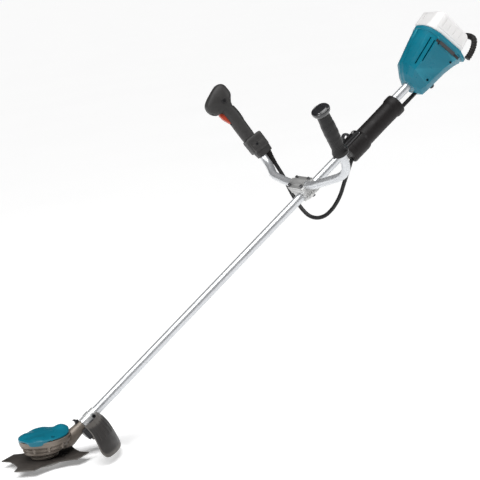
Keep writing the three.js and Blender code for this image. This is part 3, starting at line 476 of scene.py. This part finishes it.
def finished(thing, material, slot, body, *nodes):
    """Gives a new piece its finish and its body, and hides the CAD nodes that it stands for."""
    thing.data.materials.clear()
    thing.data.materials.append(material)
    smoothed(thing)
    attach(thing, body)
    if nodes:
        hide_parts(*nodes)
    return thing


def dressed(node, material, width=0.0, segments=2):
    """Keeps a CAD node, with rounded edges and a better finish."""
    thing = frame["nodes"][node]
    weld = thing.modifiers.new("weld", "WELD")
    weld.merge_threshold = 1e-6
    if width:
        rounded(thing, width, segments)
    smoothed(thing)
    for socket in thing.material_slots:
        socket.material = material
    if not thing.material_slots:
        thing.data.materials.append(material)


def piece(name, shape, matrix, material, slot, body, *nodes, width=0.0, segments=3, angle=30):
    """A new piece from one shape."""
    thing = mesh_object(name, shape, matrix)
    if width:
        rounded(thing, width, segments, angle)
    return finished(thing, material, slot, body, *nodes)

# ---------------------------------------------------------------- camera, floor and light, in metres

CAMERA_PLACE = (-1.12096, -3.98878, 1.19743)
CAMERA_RIGHT = (0.8967, -0.4186, -0.1440)
CAMERA_BACK = (-0.3946, -0.9033, 0.1685)
CAMERA_LENS = 125.43
FLOOR_HALF = 900
FLOOR_DROP = 0.002
ROOM_DIM = 0.36
ROOM_BRIGHT = 0.85
SUN_POWER = 2.5
SUN_SPREAD = 50

# Each soft box: its name, its place, what it faces, its size and its power in watts.
SOFT_BOXES = [
    ("key", (-2.6, -1.1, 2.7), (0.9, 0, 0.6), 1.5, 66),
    ("edge", (2.6, -1.0, 1.9), (1.1, 0, 0.8), 0.8, 14),
]


def camera():
    """A long lens ahead of the tool and to its left, a little above it."""
    right = Vector(CAMERA_RIGHT).normalized()
    back = Vector(CAMERA_BACK).normalized()
    up = back.cross(right)
    lens = bpy.data.cameras.new("camera")
    lens.sensor_width = 36
    lens.lens = CAMERA_LENS
    lens.clip_end = 3000
    thing = bpy.data.objects.new("camera", lens)
    turned = Matrix((right, up, back)).transposed().to_4x4()
    thing.matrix_world = Matrix.Translation(CAMERA_PLACE) @ turned
    bpy.context.scene.collection.objects.link(thing)
    bpy.context.scene.camera = thing


def area_light(name, place, aim, size, power):
    light = bpy.data.lights.new(name, "AREA")
    light.size = size
    light.energy = power
    thing = bpy.data.objects.new(name, light)
    thing.location = place
    thing.rotation_euler = (Vector(aim) - Vector(place)).to_track_quat("-Z", "Y").to_euler()
    bpy.context.scene.collection.objects.link(thing)


def studio():
    """A dim even room with a bright ceiling, one soft sun, two soft boxes and a pale floor."""
    world = bpy.data.worlds.new("studio")
    bpy.context.scene.world = world
    world.use_nodes = True
    tree = world.node_tree
    coordinates = tree.nodes.new("ShaderNodeTexCoord")
    parts = tree.nodes.new("ShaderNodeSeparateXYZ")
    link(tree, coordinates, "Generated", parts, "Vector")
    height = ranged(tree, parts, "Z", ROOM_DIM, ROOM_BRIGHT, 0.1, 0.8)
    link(tree, height, "Result", tree.nodes["Background"], "Strength")
    sun = bpy.data.lights.new("sun", "SUN")
    sun.energy = SUN_POWER
    sun.angle = math.radians(SUN_SPREAD)
    sun_lamp = bpy.data.objects.new("sun", sun)
    sun_lamp.rotation_euler = (math.radians(14), math.radians(-10), 0)
    bpy.context.scene.collection.objects.link(sun_lamp)
    for name, place, aim, size, power in SOFT_BOXES:
        area_light(name, place, aim, size, power)
    far = FLOOR_HALF
    corners = [(-far, -far, 0), (far, -far, 0), (far, far, 0), (-far, far, 0)]
    floor = mesh_object("floor", (corners, [(0, 1, 2, 3)]), Matrix())
    floor.data.materials.append(FLOOR)
    floor.location.z = CAD_BOX[0][2] - FLOOR_DROP
    bpy.context.scene.view_settings.view_transform = "Standard"


camera()
studio()

# ---------------------------------------------------------------- cable

# The route in the shaft's frame: down in a loop to the right of the pipe, then along the sleeve's channel.
CABLE_LOOP = [
    (1026, 241, 46), (1019, 229, 23), (1007, 208, -6), (989, 182, -35), (975, 157, -61),
    (965, 132, -85), (962, 110, -102), (968, 88, -113), (983, 68, -117), (1003, 51, -112),
    (1023, 37, -102), (1044, 25, -88), (1064, 15, -71), (1085, 7, -55), (1104, 2, -42),
]
CABLE_CHANNEL_STOPS = (1124, 1150, 1200, 1250, 1300, 1330, 1370, 1410)
RELIEF_LENGTH = 38
RELIEF_TAPER = 42
RELIEF_FLARE = 2.6


def strain_relief():
    """A tapered ribbed sleeve where the cable leaves the grip."""
    route = cable_route()
    inverse = SHAFT.inverted()
    path = [inverse @ point for point in route[12:36]]

    def radius(run):
        taper = max(0.0, 1 - run / RELIEF_TAPER)
        rib = 0.5 if (run % 5) < 2.6 else 0.0
        return CABLE_RADIUS + 0.25 + RELIEF_FLARE * taper + rib * (0.3 + taper)

    fine = smooth_route(path, 6)
    length = 0.0
    kept = [fine[0]]
    for point in fine[1:]:
        length += (point - kept[-1]).length
        kept.append(point)
        if length > RELIEF_LENGTH:
            break
    return piece("cable_relief", swept(kept, radius, 24), SHAFT, RUBBER, "rubber", "handlebar")


def cable_route():
    """The cable's centre line: out of the grip, round its loop, and through the sleeve to the housing."""
    start = [RIGHT @ Vector((CABLE_EXIT_X, 0, BLOCK_LOW + distance)) for distance in (10, 0)]
    loop = [SHAFT @ Vector(point) for point in CABLE_LOOP]
    channel = [SHAFT @ Vector((x, 0, CABLE_CHANNEL)) for x in CABLE_CHANNEL_STOPS]
    return smooth_route([*start, *loop, *channel], 12)


def cable():
    """The switch cable: one fixed sheath from the handlebar's grip round its loop to the frame, with its
    strain relief.
    """
    route = cable_route()
    thing = mesh_object("switch_cable_sheath", swept(route, CABLE_RADIUS * MM, 20), Matrix())
    thing.data.materials.append(CABLE_BLACK)
    smoothed(thing)
    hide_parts("switch_cable")
    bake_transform(thing)
    strain_relief()


cable()

# ---------------------------------------------------------------- cutting head

# The cover: its heights at the rim and the crown, how far it arches, how far its outline waves,
# its lobes in degrees, its hump's place and spread, and its screw's place.
COVER_RIM = 56.5
COVER_CROWN = 64.6
COVER_ARCH = 3.2
COVER_WAVE = 1.9
COVER_LOBES = (14, 86, 157, 232)
COVER_HUMP = (55, 9, 15)
COVER_SCREW = (14, -53)


def cover_wave(angle):
    """From -1 between the lobes round the case to 1 on them."""
    total = -1.0
    for lobe in COVER_LOBES:
        apart = (math.degrees(angle) - lobe + 180) % 360 - 180
        total += 2 * math.exp(-(apart / 23) ** 4)
    return total


def cover_radius(angle):
    """The cover's outline, drawn in between its lobes."""
    return CASE_RADIUS - COVER_WAVE + COVER_WAVE * cover_wave(angle)


def cover_edge(angle):
    """How low the cover's edge reaches: lower on the lobes than between them."""
    return CASE_TOP + 6.5 - 4 * cover_wave(angle)


def cover_height(part, angle):
    """The cover's crown at a share of its radius: shallow lobes, and a hump over the neck."""
    crown = COVER_CROWN - COVER_ARCH * part ** 2 - (COVER_CROWN - COVER_ARCH - COVER_RIM) * part ** 9
    lobes = 1.6 * cover_wave(angle) * math.exp(-((part - 0.74) / 0.2) ** 2)
    along, across, spread = COVER_HUMP
    x = CASE_RADIUS * part * math.cos(angle) - along
    y = CASE_RADIUS * part * math.sin(angle) - across
    hump = 6.5 * math.exp(-(x * x + y * y) / (2 * spread * spread))
    valley = 3.0 * math.exp(-((x + 27) ** 2 + y * y / 4) / 130)
    return crown + lobes + hump - valley


def cover_row(steps, size, height):
    """One ring of the cover: its size at each angle and its height there."""
    row = []
    for k in range(steps):
        angle = 2 * math.pi * k / steps
        radius = size(angle)
        row.append((CASE_OFFSET + radius * math.cos(angle), radius * math.sin(angle), height(angle)))
    return row


def motor_cover():
    """A moulded cap with a lobed outline and a wavy lower edge."""
    steps = 120
    rows = []
    for part in (0.02, 0.15, 0.28, 0.4, 0.5, 0.58, 0.66, 0.74, 0.81, 0.87, 0.92, 0.955, 0.98, 1.0):
        rows.append(cover_row(steps, lambda a: part * cover_radius(a), lambda a: cover_height(part, a)))
    for drop in (0.12, 0.5, 1.0):
        rows.append(cover_row(
            steps, cover_radius,
            lambda a: cover_height(1, a) + (cover_edge(a) - cover_height(1, a)) * drop,
        ))
    rows.append(cover_row(steps, lambda a: cover_radius(a) - 2.2, cover_edge))
    thing = mesh_object("motor_cover_shell", loft(rows), TOOL)
    cut(thing, TOOL, rod("z", 5.2, 20, (COVER_SCREW[0], COVER_SCREW[1], 65), 32))
    rounded(thing, 1.1, 3, 38)
    finished(thing, TEAL, "teal", "frame", "motor_cover")


def motor_case():
    """One casting: a foot, a flare with ten ribs, and three tapering rods for the neck, hollow inside."""
    foot = [(0, 13), (36, 13), (37, 13.4), (44, 14), (50, 17), (50.5, 26), (0, 26)]
    flare = [(0, 22), (51, 24), (58, 27), (59, 31), (60, 35), (64, 37.5), (65.6, 41), (65.6, 51.5), (0, 51.5)]
    shape = mesh_object("motor_case_casting", lathe(foot), TOOL)
    offset = TOOL @ Matrix.Translation((CASE_OFFSET, 0, 0))
    join(shape, offset, lathe(flare))
    join(shape, SHAFT, rod("x", 25, 30, (38, 0, 1), 48, 19.5), rod("x", 19.5, 34, (69.9, 0, 0), 48, 15.5),
         rod("x", 15.5, 16, (94.5, 0, 0), 48, 15))
    cut(shape, TOOL, box((-200, -200, -60), (200, 200, 13)))
    ribs = []
    for turn in range(10):
        angle = math.radians(36 * turn + 8)
        ribs.append((60 * math.cos(angle) + CASE_OFFSET, 60 * math.sin(angle)))
    join(shape, TOOL, *[rod("z", 3.4, 14, (x, y, 33), 16, 4.6) for x, y in ribs])
    fused(shape, 1.3, 3)
    cut(shape, TOOL, box((-200, -200, 52), (60, 200, 200)), lathe([(0, 24), (46, 24), (46, 60), (0, 60)], 48),
        rod("z", 16.3, 12, (0, 0, 19), 48), rod("z", 11, 12, (0, 0, 14), 48))
    finished(shape, CASE_METAL, "cast_metal", "frame", "motor_case")


# The shield's section, as radius and height, and its ends in degrees round the blade.
GUARD_SECTION = [
    (193.5, 0), (193.3, 3), (192.7, 8), (190, 15), (186, 27.5), (181, 40), (175.5, 53), (169, 64),
    (164, 71.5), (158, 78), (153, 82.5), (147, 86),
]
GUARD_START = -58
GUARD_END = 20
GUARD_CORNER = 26
GUARD_TOP = 86
GUARD_FALL = 30
GUARD_FALL_START = 78
GUARD_FALL_LENGTH = 40
GUARD_MEAN_RADIUS = 190


def guard_radius(height):
    """The shield's radius at a height, between the corners of its section."""
    for low, high in zip(GUARD_SECTION, GUARD_SECTION[1:]):
        if height <= high[1] + 1e-9:
            return low[0] + (high[0] - low[0]) * (height - low[1]) / (high[1] - low[1])
    return GUARD_SECTION[-1][0]


def guard_ring(angle, from_end, from_right, thickness=3.0):
    """One ring of the shield: its lower edge rises near both ends, and its top falls near the right one."""
    short = max(0.0, GUARD_CORNER - from_end)
    lift = GUARD_CORNER - math.sqrt(GUARD_CORNER ** 2 - short ** 2)
    past = max(0.0, min(1.0, (GUARD_FALL_START - from_right) / GUARD_FALL_LENGTH))
    top = GUARD_TOP - GUARD_FALL * past * past * (3 - 2 * past)
    shares = [1 - k / 14 for k in range(15)]
    outer = [lift + (top - lift) * share for share in shares]
    lip = [1.2 if height - lift < 5 else 0.0 for height in outer]
    ring = [(guard_radius(height) + extra * 0.5, height) for height, extra in zip(outer, lip)]
    back = [(guard_radius(height) - thickness - extra * 0.5, height - 1) for height, extra in zip(outer, lip)]
    return [(r * math.cos(angle), r * math.sin(angle), z) for r, z in ring + back[::-1]]


def guard():
    """The shield behind the blade: a skin with a lip and round corners, a shelf and four webs below it."""
    start, end = math.radians(GUARD_START), math.radians(GUARD_END)
    steps = 60
    rings = []
    for step in range(steps + 1):
        share = (1 - math.cos(math.pi * step / steps)) / 2
        arc = (end - start) * GUARD_MEAN_RADIUS
        angle = start + (end - start) * share
        rings.append(guard_ring(angle, min(share, 1 - share) * arc, (1 - share) * arc))
    thing = mesh_object("guard_shield", loft(rings), TOOL)
    cut(thing, SHAFT, rod("x", 24, 300, (150, 0, 0), 48))
    join(thing, SHAFT, box((94, -24, -42), (150, 24, -36)))
    for y in (-20, -7, 7, 20):
        join(thing, SHAFT, box((120, y - 1.5, -52), (150, y + 1.5, -38)))
    rounded(thing, 0.8, 2, 40)
    finished(thing, GUARD_GREY, "grey", "frame", "guard")


def guard_ribs():
    """Low ribs down the outside of the shield near its root."""
    for i, degrees in enumerate((-52, -44, -36, -28, -20)):
        angle = math.radians(degrees)
        heights = (80, 74, 67, 60, 52, 44)
        outline = [(guard_radius(z) + 1.0, z + 0.3) for z in heights]
        back = [(guard_radius(z) - 1.2, z - 0.5) for z in heights[::-1]]
        turn = TOOL @ Matrix.Rotation(angle, 4, "Z")
        rib = side_slab(outline + back, -0.9, 0.9)
        piece(f"guard_rib_{i + 1}", rib, turn, GUARD_GREY, "grey", "frame", width=0.4)


def head():
    motor_cover()
    motor_case()
    guard()
    guard_ribs()
    dressed("blade", BLADE_STEEL, 0.7)
    for node in ("receive_washer", "glide_cup", "clamp_washer", "blade_nut"):
        dressed(node, CASE_METAL if node == "receive_washer" else STEEL, 0.5)
    for node in ("spindle", "rotor", "lower_bearing", "upper_bearing"):
        dressed(node, STEEL)
    dressed("stator", COPPER)
    dressed("cover_screw", BLACK_STEEL, 0.3)
    dressed("pipe_holder", SILVER, 0.8)
    dressed("pipe_holder_bolt", BLACK_STEEL, 0.5)
    dressed("neck_hook", BLACK, 0.6)
    dressed("guard_bracket", BLACK, 1.2)
    dressed("guard_bolt_left", BLACK_STEEL, 0.4)
    dressed("guard_bolt_right", BLACK_STEEL, 0.4)

# ---------------------------------------------------------------- pipe, clamp and handlebar


def grip_point(side, distance):
    direction = Vector((GRIP_DIRECTION[0], side * GRIP_DIRECTION[1], GRIP_DIRECTION[2])).normalized()
    return Vector((CORNER[0], side * CORNER[1], CORNER[2])) + direction * distance


def handlebar():
    """One bent tube from the left grip to the right one."""
    points = [
        grip_point(-1, LEFT_BAR_END),
        (CORNER[0], -CORNER[1], CORNER[2]),
        (BAR_RISE[0], -BAR_RISE[1], BAR_RISE[2]),
        (BAR_ALONG, -BAR_STRAIGHT, BAR_ABOVE),
        (BAR_ALONG, BAR_STRAIGHT, BAR_ABOVE),
        BAR_RISE,
        CORNER,
        grip_point(1, RIGHT_BAR_END),
    ]
    leads = (BEND_LEAD, RISE_LEAD, RISE_LEAD, RISE_LEAD, RISE_LEAD, BEND_LEAD)
    piece("handlebar_tube", swept(bent(points, leads), BAR_RADIUS, 36), SHAFT, PIPE_METAL, "pipe_metal",
          "handlebar", "handlebar")


def clamp():
    """The three castings and their bolts, with three thin webs on each side."""
    for node in ("clamp_base", "clamp_saddle", "clamp_cap"):
        dressed(node, CAST_METAL, 1.1, 3)
    for i in range(4):
        dressed(f"cap_bolt_{i + 1}", BLACK_STEEL, 0.5)
    for i in range(2):
        dressed(f"base_bolt_{i + 1}", BLACK_STEEL, 0.5)
    for side in (-1, 1):
        for along in (-16, 0, 16):
            low, high = BAR_ALONG + along - 1.5, BAR_ALONG + along + 1.5
            outline = [(low, -8), (high, -8), (high, 10), (low, 10)]
            web = side_slab(outline, side * 33.8, side * 36.6)
            name = f"clamp_web_{side + 2}_{along + 17}"
            piece(name, web, SHAFT, CAST_METAL, "cast_metal", "frame", width=0.5)


def pipe():
    dressed("shaft_pipe", PIPE_METAL)
    dressed("motor_cable", RUBBER)

# ---------------------------------------------------------------- grips


def oval(z, low, high, half_y, power=2.6, slope=0.0, count=72):
    """One ring of a grip: a rounded oval between two x, leaning by a slope."""
    centre, half = (low + high) / 2, (high - low) / 2
    ring = []
    for k in range(count):
        angle = 2 * math.pi * k / count
        c, s = math.cos(angle), math.sin(angle)
        x = centre + half * math.copysign(abs(c) ** (2 / power), c)
        y = half_y * math.copysign(abs(s) ** (2 / power), s)
        ring.append((x, y, z + slope * x))
    return ring


def eased(stations, steps=4):
    """More stations between those given, on smooth curves."""
    out = []
    rows = [stations[0], *stations, stations[-1]]
    for i in range(1, len(rows) - 2):
        for step in range(steps):
            t = step / steps
            row = []
            for a, b, c, d in zip(*rows[i - 1:i + 3]):
                low = 0.0 if (c - b) * (b - a) <= 0 else 2 * (c - b) * (b - a) / ((c - b) + (b - a))
                high = 0.0 if (d - c) * (c - b) <= 0 else 2 * (d - c) * (c - b) / ((d - c) + (c - b))
                row.append((2 * t ** 3 - 3 * t ** 2 + 1) * b + (t ** 3 - 2 * t ** 2 + t) * low
                           + (3 * t ** 2 - 2 * t ** 3) * c + (t ** 3 - t ** 2) * high)
            out.append(tuple(row))
    out.append(tuple(stations[-1]))
    return out


def left_grip():
    """A moulded grip with a flange, fine rings and a broad oval end cap."""
    flange = LEFT_FLANGE
    stations = [
        (flange, 19.5), (flange + 1.5, 21.2), (flange + 8, 21.4), (flange + 11, 20.6), (flange + 18, 18),
        (flange + 25, 17), (flange + 45, 17.6), (flange + 78, 18.6), (flange + 112, 17),
        (LEFT_TOP - 16, 16.5),
    ]
    rings = []
    for z, half in eased(stations, 10):
        ribbed = 0.35 * math.sin(z * 1.5) if flange + 16 < z < LEFT_TOP - 24 else 0.0
        rings.append(oval(z, -half - ribbed, half + ribbed, half * 0.97 + ribbed, 2.2))
    piece("left_grip_moulding", loft(rings), LEFT, BLACK, "black", "handlebar", "left_grip")
    top = LEFT_TOP
    cap = [
        (top - 15.7, 17.5), (top - 14, 19.5), (top - 11, 22.4), (top - 8, 23.9), (top - 4, 24.5),
        (top - 1, 24), (top + 0.6, 22.6), (top + 1, 21.2), (top + 0.5, 20.2), (top + 0.7, 19.2),
        (top + 2.2, 17), (top + 3, 12), (top + 3.2, 4),
    ]
    rings = [oval(z, -half, half, half * 0.98, 2.2, 0.06) for z, half in eased(cap, 3)]
    piece("left_grip_end_cap", loft(rings), LEFT, GLOSS_BLACK, "black", "handlebar", "left_grip_cap")
    dressed("left_grip_screw", BLACK_STEEL, 0.3)


# Each station: height, lowest and highest x, half width, how square it is, and its slope.
SHELL_STATIONS = [
    (92.3, -18, 19, 17, 2.6, 0.0), (96, -18.4, 19.4, 17.2, 2.6, 0.0), (125, -18, 21, 17, 2.6, 0.0),
    (165, -17, 22, 17.5, 2.6, 0.0), (190, -18.5, 20.5, 18, 2.6, 0.0), (199, -34, 22, 21, 2.8, 0.03),
    (211, -45, 29, 23.5, 3.0, 0.0), (221, -47.5, 36.5, 24, 3.0, -0.02), (231.5, -46.5, 39, 24, 3.0, 0.01),
    (242, -42, 39, 23, 3.0, 0.075), (251, -32, 36, 20.5, 2.8, 0.136), (257, -20, 27, 16, 2.5, 0.227),
    (260, -8, 14, 9, 2.2, 0.35),
]


def shell_rings(inset):
    """The right grip's rings, or those of the hollow inside it."""
    rings = []
    for z, low, high, half, power, slope in eased(SHELL_STATIONS, 5):
        lift = inset * max(-1.0, min(1.0, (170 - z) / 80))
        rings.append(oval(z + lift, low + inset, high - inset, max(1.0, half - inset), power, slope))
    return rings


def trigger_spring():
    """A coil between the trigger and its switch, built at one fixed length on the handlebar; it doesn't
    shorten as the trigger is squeezed.
    """
    turns, steps, length, start = 5, 16, 12, -13
    radius, wire, height = 3.4, 0.55, 172
    path = []
    for i in range(turns * steps + 1):
        angle = 2 * math.pi * i / steps
        along = start + length * i / (turns * steps)
        path.append((along, radius * math.cos(angle), height + radius * math.sin(angle)))
    shape = swept(path, wire, 10)
    coil = piece("trigger_return_spring", shape, RIGHT, STEEL, "steel", "handlebar", "trigger_spring")
    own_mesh(coil)


def right_grip():
    """Two moulded halves with slots for the trigger and the lever, and a recess for the button."""
    split = HOLE_GAP / 2
    for name, low, high in (("inner", -60, -split), ("outer", split, 60)):
        thing = mesh_object(f"grip_{name}_moulding", loft(shell_rings(0)), RIGHT)
        trigger_slot = box((-60, -7.6, 152), (-8, 7.6, 208))
        lever_slot = box((8, -6.6, 132), (60, 6.6, 196))
        button_hole = rod("y", 7, 20, (4, -24, 218))
        bar_hole = rod("z", BAR_RADIUS + HOLE_GAP, 60, (0, 0, 110))
        cut(thing, RIGHT, loft(shell_rings(3)), trigger_slot, lever_slot, button_hole, bar_hole)
        keep = mesh_object("keep", box((-90, low, 60), (90, high, 320)), RIGHT)
        step = thing.modifiers.new("half", "BOOLEAN")
        step.operation = "INTERSECT"
        step.solver = "EXACT"
        step.object = keep
        applied(thing)
        bpy.data.objects.remove(keep)
        rounded(thing, 0.6, 2, 40)
        finished(thing, GREY, "grey", "handlebar", f"grip_shell_{name}")
    block_stations = [
        (29, -12, 31, 15.5, 5, 0), (31, -13, 32, 16.4, 5, 0), (44, -14.6, 33, 18.6, 5, 0),
        (46, -15, 33, 19, 5, 0), (47.5, -18, 33.6, 21.5, 5, 0), (50, -20, 34, 23, 5, 0),
        (56, -20, 34.4, 23, 5, 0), (82, -20, 35, 23, 5, 0), (88, -20, 35, 23, 5, 0),
        (91, -18.6, 33.6, 21.6, 5, 0), (92, -16, 31, 19, 5, 0),
    ]
    block = mesh_object("grip_block_moulding", loft([oval(*row) for row in block_stations]), RIGHT)
    cable_hole = rod("z", CABLE_RADIUS + 0.6, 50, (CABLE_EXIT_X, 0, BLOCK_LOW + 15))
    bar_hole = rod("z", BAR_RADIUS + HOLE_GAP, 60, (0, 0, 80))
    screw_seat = rod("y", 4.6, 10, (2, -24, 66))
    groove = box((-40, -30, 70.2), (60, -22.2, 71.2))
    cut(block, RIGHT, cable_hole, bar_hole, screw_seat, groove)
    rounded(block, 0.8, 2, 40)
    finished(block, GREY, "grey", "handlebar", "grip_block")
    for i, z in enumerate((104, 112, 120, 128, 136, 144)):
        angles = [math.pi * k / 4 for k in range(8)]
        bead = [(18.8 + 0.5 * math.cos(a), z + 1.6 * math.sin(a)) for a in angles]
        piece(f"grip_rib_{i + 1}", side_slab(bead, -9, 9), RIGHT, GREY, "grey", "handlebar", width=0.3)
    dressed("trigger", RED, 2.2, 4)
    dressed("lock_off_lever", BLACK, 2.0, 4)
    dressed("power_button", BLACK, 1.0, 3)
    dressed("trigger_switch", BLACK, 0.5)
    trigger_spring()
    dressed("grip_block_screw", BLACK_STEEL, 0.3)

# ---------------------------------------------------------------- sleeve and hanger


def sleeve():
    """A rubber sleeve with two collars, fine grooves, the pipe's bore and the cable's channel."""
    collar = COLLAR_RADIUS
    profile = [
        (SLEEVE_START, collar - 2), (SLEEVE_START + 1.5, collar - 0.3), (SLEEVE_START + 4, collar),
        (1138, collar), (1139, collar - 0.7), (1141, collar - 0.7), (1142, collar),
        (1179, collar), (1183, collar - 0.8), (1187, SLEEVE_RADIUS + 0.6), (1190, SLEEVE_RADIUS),
        (1240, SLEEVE_RADIUS - 0.4), (1297, SLEEVE_RADIUS), (1300, SLEEVE_RADIUS + 0.7), (1304, collar - 1.4),
        (1307, collar - 1), (1321, collar - 1), (1324, collar - 1.6), (SLEEVE_END, collar - 3),
    ]
    rings = []
    for x, radius in profile:
        rings.append([
            (x, radius * math.cos(a), SLEEVE_CENTRE + radius * math.sin(a))
            for a in (2 * math.pi * k / 64 for k in range(64))
        ])
    thing = mesh_object("hip_sleeve_rubber", loft(rings), SHAFT)
    bore = rod("x", PIPE_RADIUS + HOLE_GAP, 300, (1225, 0, 0))
    channel = rod("x", CABLE_RADIUS + 1, 300, (1225, 0, CABLE_CHANNEL), 32)
    cut(thing, SHAFT, bore, channel, box((SLEEVE_START - 1, -40, 9), (1186, 40, 40)))
    rounded(thing, 0.5, 2, 40)
    finished(thing, RUBBER, "rubber", "frame", "hip_sleeve")
    dressed("hanger_bracket", BLACK, 0.9, 3)
    dressed("hanger_bolt", STEEL, 0.5)

# ---------------------------------------------------------------- rear housing

# Each section: its place along the shaft, half width, top, foot, and how its ridge and shoulders fall.
HOUSING = [
    {"x": 1382, "wide": 27, "top": 19, "low": -23, "ridge": 9, "shoulder": 18, "drop": 4, "fall": 14},
    {"x": 1392, "wide": 36, "top": 38, "low": -41, "ridge": 10, "shoulder": 25, "drop": 7, "fall": 18},
    {"x": 1410, "wide": 44, "top": 61, "low": -41, "ridge": 11, "shoulder": 32, "drop": 9, "fall": 26},
    {"x": 1476, "wide": 55, "top": 84, "low": -40, "ridge": 13, "shoulder": 39, "drop": 11, "fall": 38},
    {"x": 1510, "wide": 59, "top": 95, "low": -44, "ridge": 14, "shoulder": 42, "drop": 12, "fall": 41},
    {"x": 1530, "wide": 59, "top": 100, "low": -50, "ridge": 14, "shoulder": 42, "drop": 12, "fall": 41},
]

# Screws on each side of the housing: along the shaft, above it, and how far out their heads are.
HOUSING_SCREWS = [(1420, -12, 40), (1506, 44, 54), (1500, -20, 53)]
LOUVRES = 5
LOUVRE_TOP = -56
LOUVRE_STEP = 16


def housing_ring(row):
    """One section of the housing."""
    side, roof, floor = row["wide"], row["top"], row["low"]
    half = [
        (row["ridge"], roof), (row["shoulder"], roof - row["drop"]), (side, roof - row["fall"]),
        (side, floor + 20), (side * 0.6, floor),
    ]
    ring = half + [(-y, z) for y, z in reversed(half)]
    return [(row["x"], y, z) for y, z in ring]


def rim_ring(x, inset):
    """One outline of the rim round the battery's seat, drawn in by an inset."""
    wide = REAR_HALF_WIDTH - inset
    top = -5 - inset
    low = REAR_LOW + inset
    half = [(15, top), (43, top - 12), (wide, top - 41), (wide, low + 34), (wide - 22, low)]
    ring = half + [(-y, z) for y, z in reversed(half)]
    return [(x, y, z) for y, z in ring]


def housing_half(name, side):
    """One half of the housing, split on the middle plane, with its rim, slots and screw holes."""
    thing = mesh_object(f"housing_{name}_moulding", loft([housing_ring(row) for row in HOUSING]), SHAFT)
    cut(thing, REAR, box((-RIM_DEPTH + 3, -200, -400), (300, 200, 100)))
    rim = [(-RIM_DEPTH, 1.5), (-RIM_DEPTH + 1.5, 0), (-1, 0), (0, 1)]
    join(thing, REAR, loft([rim_ring(x, inset) for x, inset in rim]))
    split = HOLE_GAP / 2
    if side > 0:
        other_half = box((1300, -200, -200), (1700, -split, 300))
    else:
        other_half = box((1300, split, -200), (1700, 200, 300))
    cut(thing, SHAFT, other_half)
    rounded(thing, 2.4, 3, 9)
    applied(thing)
    bore = rod("x", PIPE_RADIUS + HOLE_GAP, 70, (1380, 0, 0))
    cut(thing, SHAFT, bore, rod("x", CABLE_RADIUS + 1, 60, (1400, 0, CABLE_CHANNEL)))
    for offset in (0, 9):
        place = Matrix.Translation((1463 + offset, side * 46, 57 - offset))
        lean = place @ Matrix.Rotation(math.radians(-16), 4, "Y")
        half = 42 - offset
        cut(thing, SHAFT @ lean, box((-half, -15, -1.7), (half, 15, 1.7)))
    edge = side * REAR_HALF_WIDTH
    cut(thing, REAR, box((-26, edge - 1.4, -132), (-17, edge + 1.4, -44)))
    for x, z, depth in HOUSING_SCREWS:
        cut(thing, SHAFT, rod("y", 3.8, 12, (x, side * (depth + 5.5), z), 24))
    return finished(thing, TEAL, "teal", "frame", f"housing_{name}")


def housing():
    """Both halves, the louvres on their strips, the screws, and what the halves hold."""
    housing_half("left", -1)
    housing_half("right", 1)
    for side, name in ((-1, "left"), (1, "right")):
        for i in range(LOUVRES):
            z = LOUVRE_TOP - i * LOUVRE_STEP
            louvre = box((-25, side * 58.9 - 0.8, z - 5), (-18, side * 58.9 + 0.8, z + 5))
            piece(f"housing_louvre_{name}_{i + 1}", louvre, REAR, BLACK, "black", "frame", width=0.5)
        strip = box((-25.6, side * 58.2 - 0.5, -131.5), (-17.4, side * 58.2 + 0.5, -44.5))
        piece(f"housing_strip_{name}", strip, REAR, BLACK, "black", "frame", width=0.3)
        for i, (x, z, depth) in enumerate(HOUSING_SCREWS):
            head_shape = rod("y", 3.3, 4, (x, side * (depth - 1.5), z), 24)
            label = f"housing_screw_{name}_{i + 1}"
            piece(label, head_shape, SHAFT, BLACK_STEEL, "black_steel", "frame", width=0.5)
    dressed("controller_board", BOARD, 0.3)
    dressed("housing_knob", BLACK, 1.0, 3)
    dressed("indicator_panel", BLACK, 0.4)
    dressed("terminal_block", BLACK, 0.5)


def bumper():
    """A ribbed rubber loop below the pack."""
    side = [(1524, 42, -52), (1542, 45, -53), (1562, 47, -51), (1586, 48, -42), (1603, 45, -29)]
    loop = [(x, -y, z) for x, y, z in side] + [(1608, -28, -22), (1608, 28, -22)] + side[::-1]
    route = smooth_route(loop, 22)

    def radius(run):
        return 8.0 + 0.5 * math.tanh(3 * math.sin(run * 2 * math.pi / 7))

    thing = mesh_object("bumper_rubber", swept(route, radius, 28), SHAFT)
    cut(thing, REAR, box((-60, -200, -400), (0.3, 200, 100)))
    finished(thing, RUBBER, "black", "frame", "bumper_loop")


def battery():
    """One pack with bevelled shoulders, softened edges, a rail channel, side grooves and a latch pocket."""
    thing = mesh_object("battery_case", side_slab(PACK_SIDE, -PACK_WIDTH / 2, PACK_WIDTH / 2), REAR)
    for side in (-1, 1):
        place = Matrix.Translation((0, side * (PACK_WIDTH / 2 + 5), -3))
        shoulder = place @ Matrix.Rotation(side * math.pi / 4, 4, "X")
        cut(thing, REAR @ shoulder, box((-100, -20, -20), (100, 20, 20)))
    rounded(thing, 4.5, 4, 25)
    applied(thing)
    rail_channel = box((-1, -23.5, -160), (10.5, 23.5, -23))
    latch_pocket = box((25.7, -17.3, -24), (44.3, 17.3, 10))
    cut(thing, REAR, rail_channel, latch_pocket)
    for side in (-1, 1):
        edge = side * PACK_WIDTH / 2
        cut(thing, REAR, box((12, edge - 0.9, -140), (13.4, edge + 0.9, 10)))
        for z in (-40, -60, -80, -100):
            cut(thing, REAR, box((20, edge - 0.8, z - 1), (46, edge + 0.8, z + 1)))
    finished(thing, PALE, "pale", "battery", "battery")
    dressed("battery_latch", PALE, 1.2, 3)


head()
handlebar()
clamp()
pipe()
left_grip()
right_grip()
sleeve()
housing()
bumper()
battery()
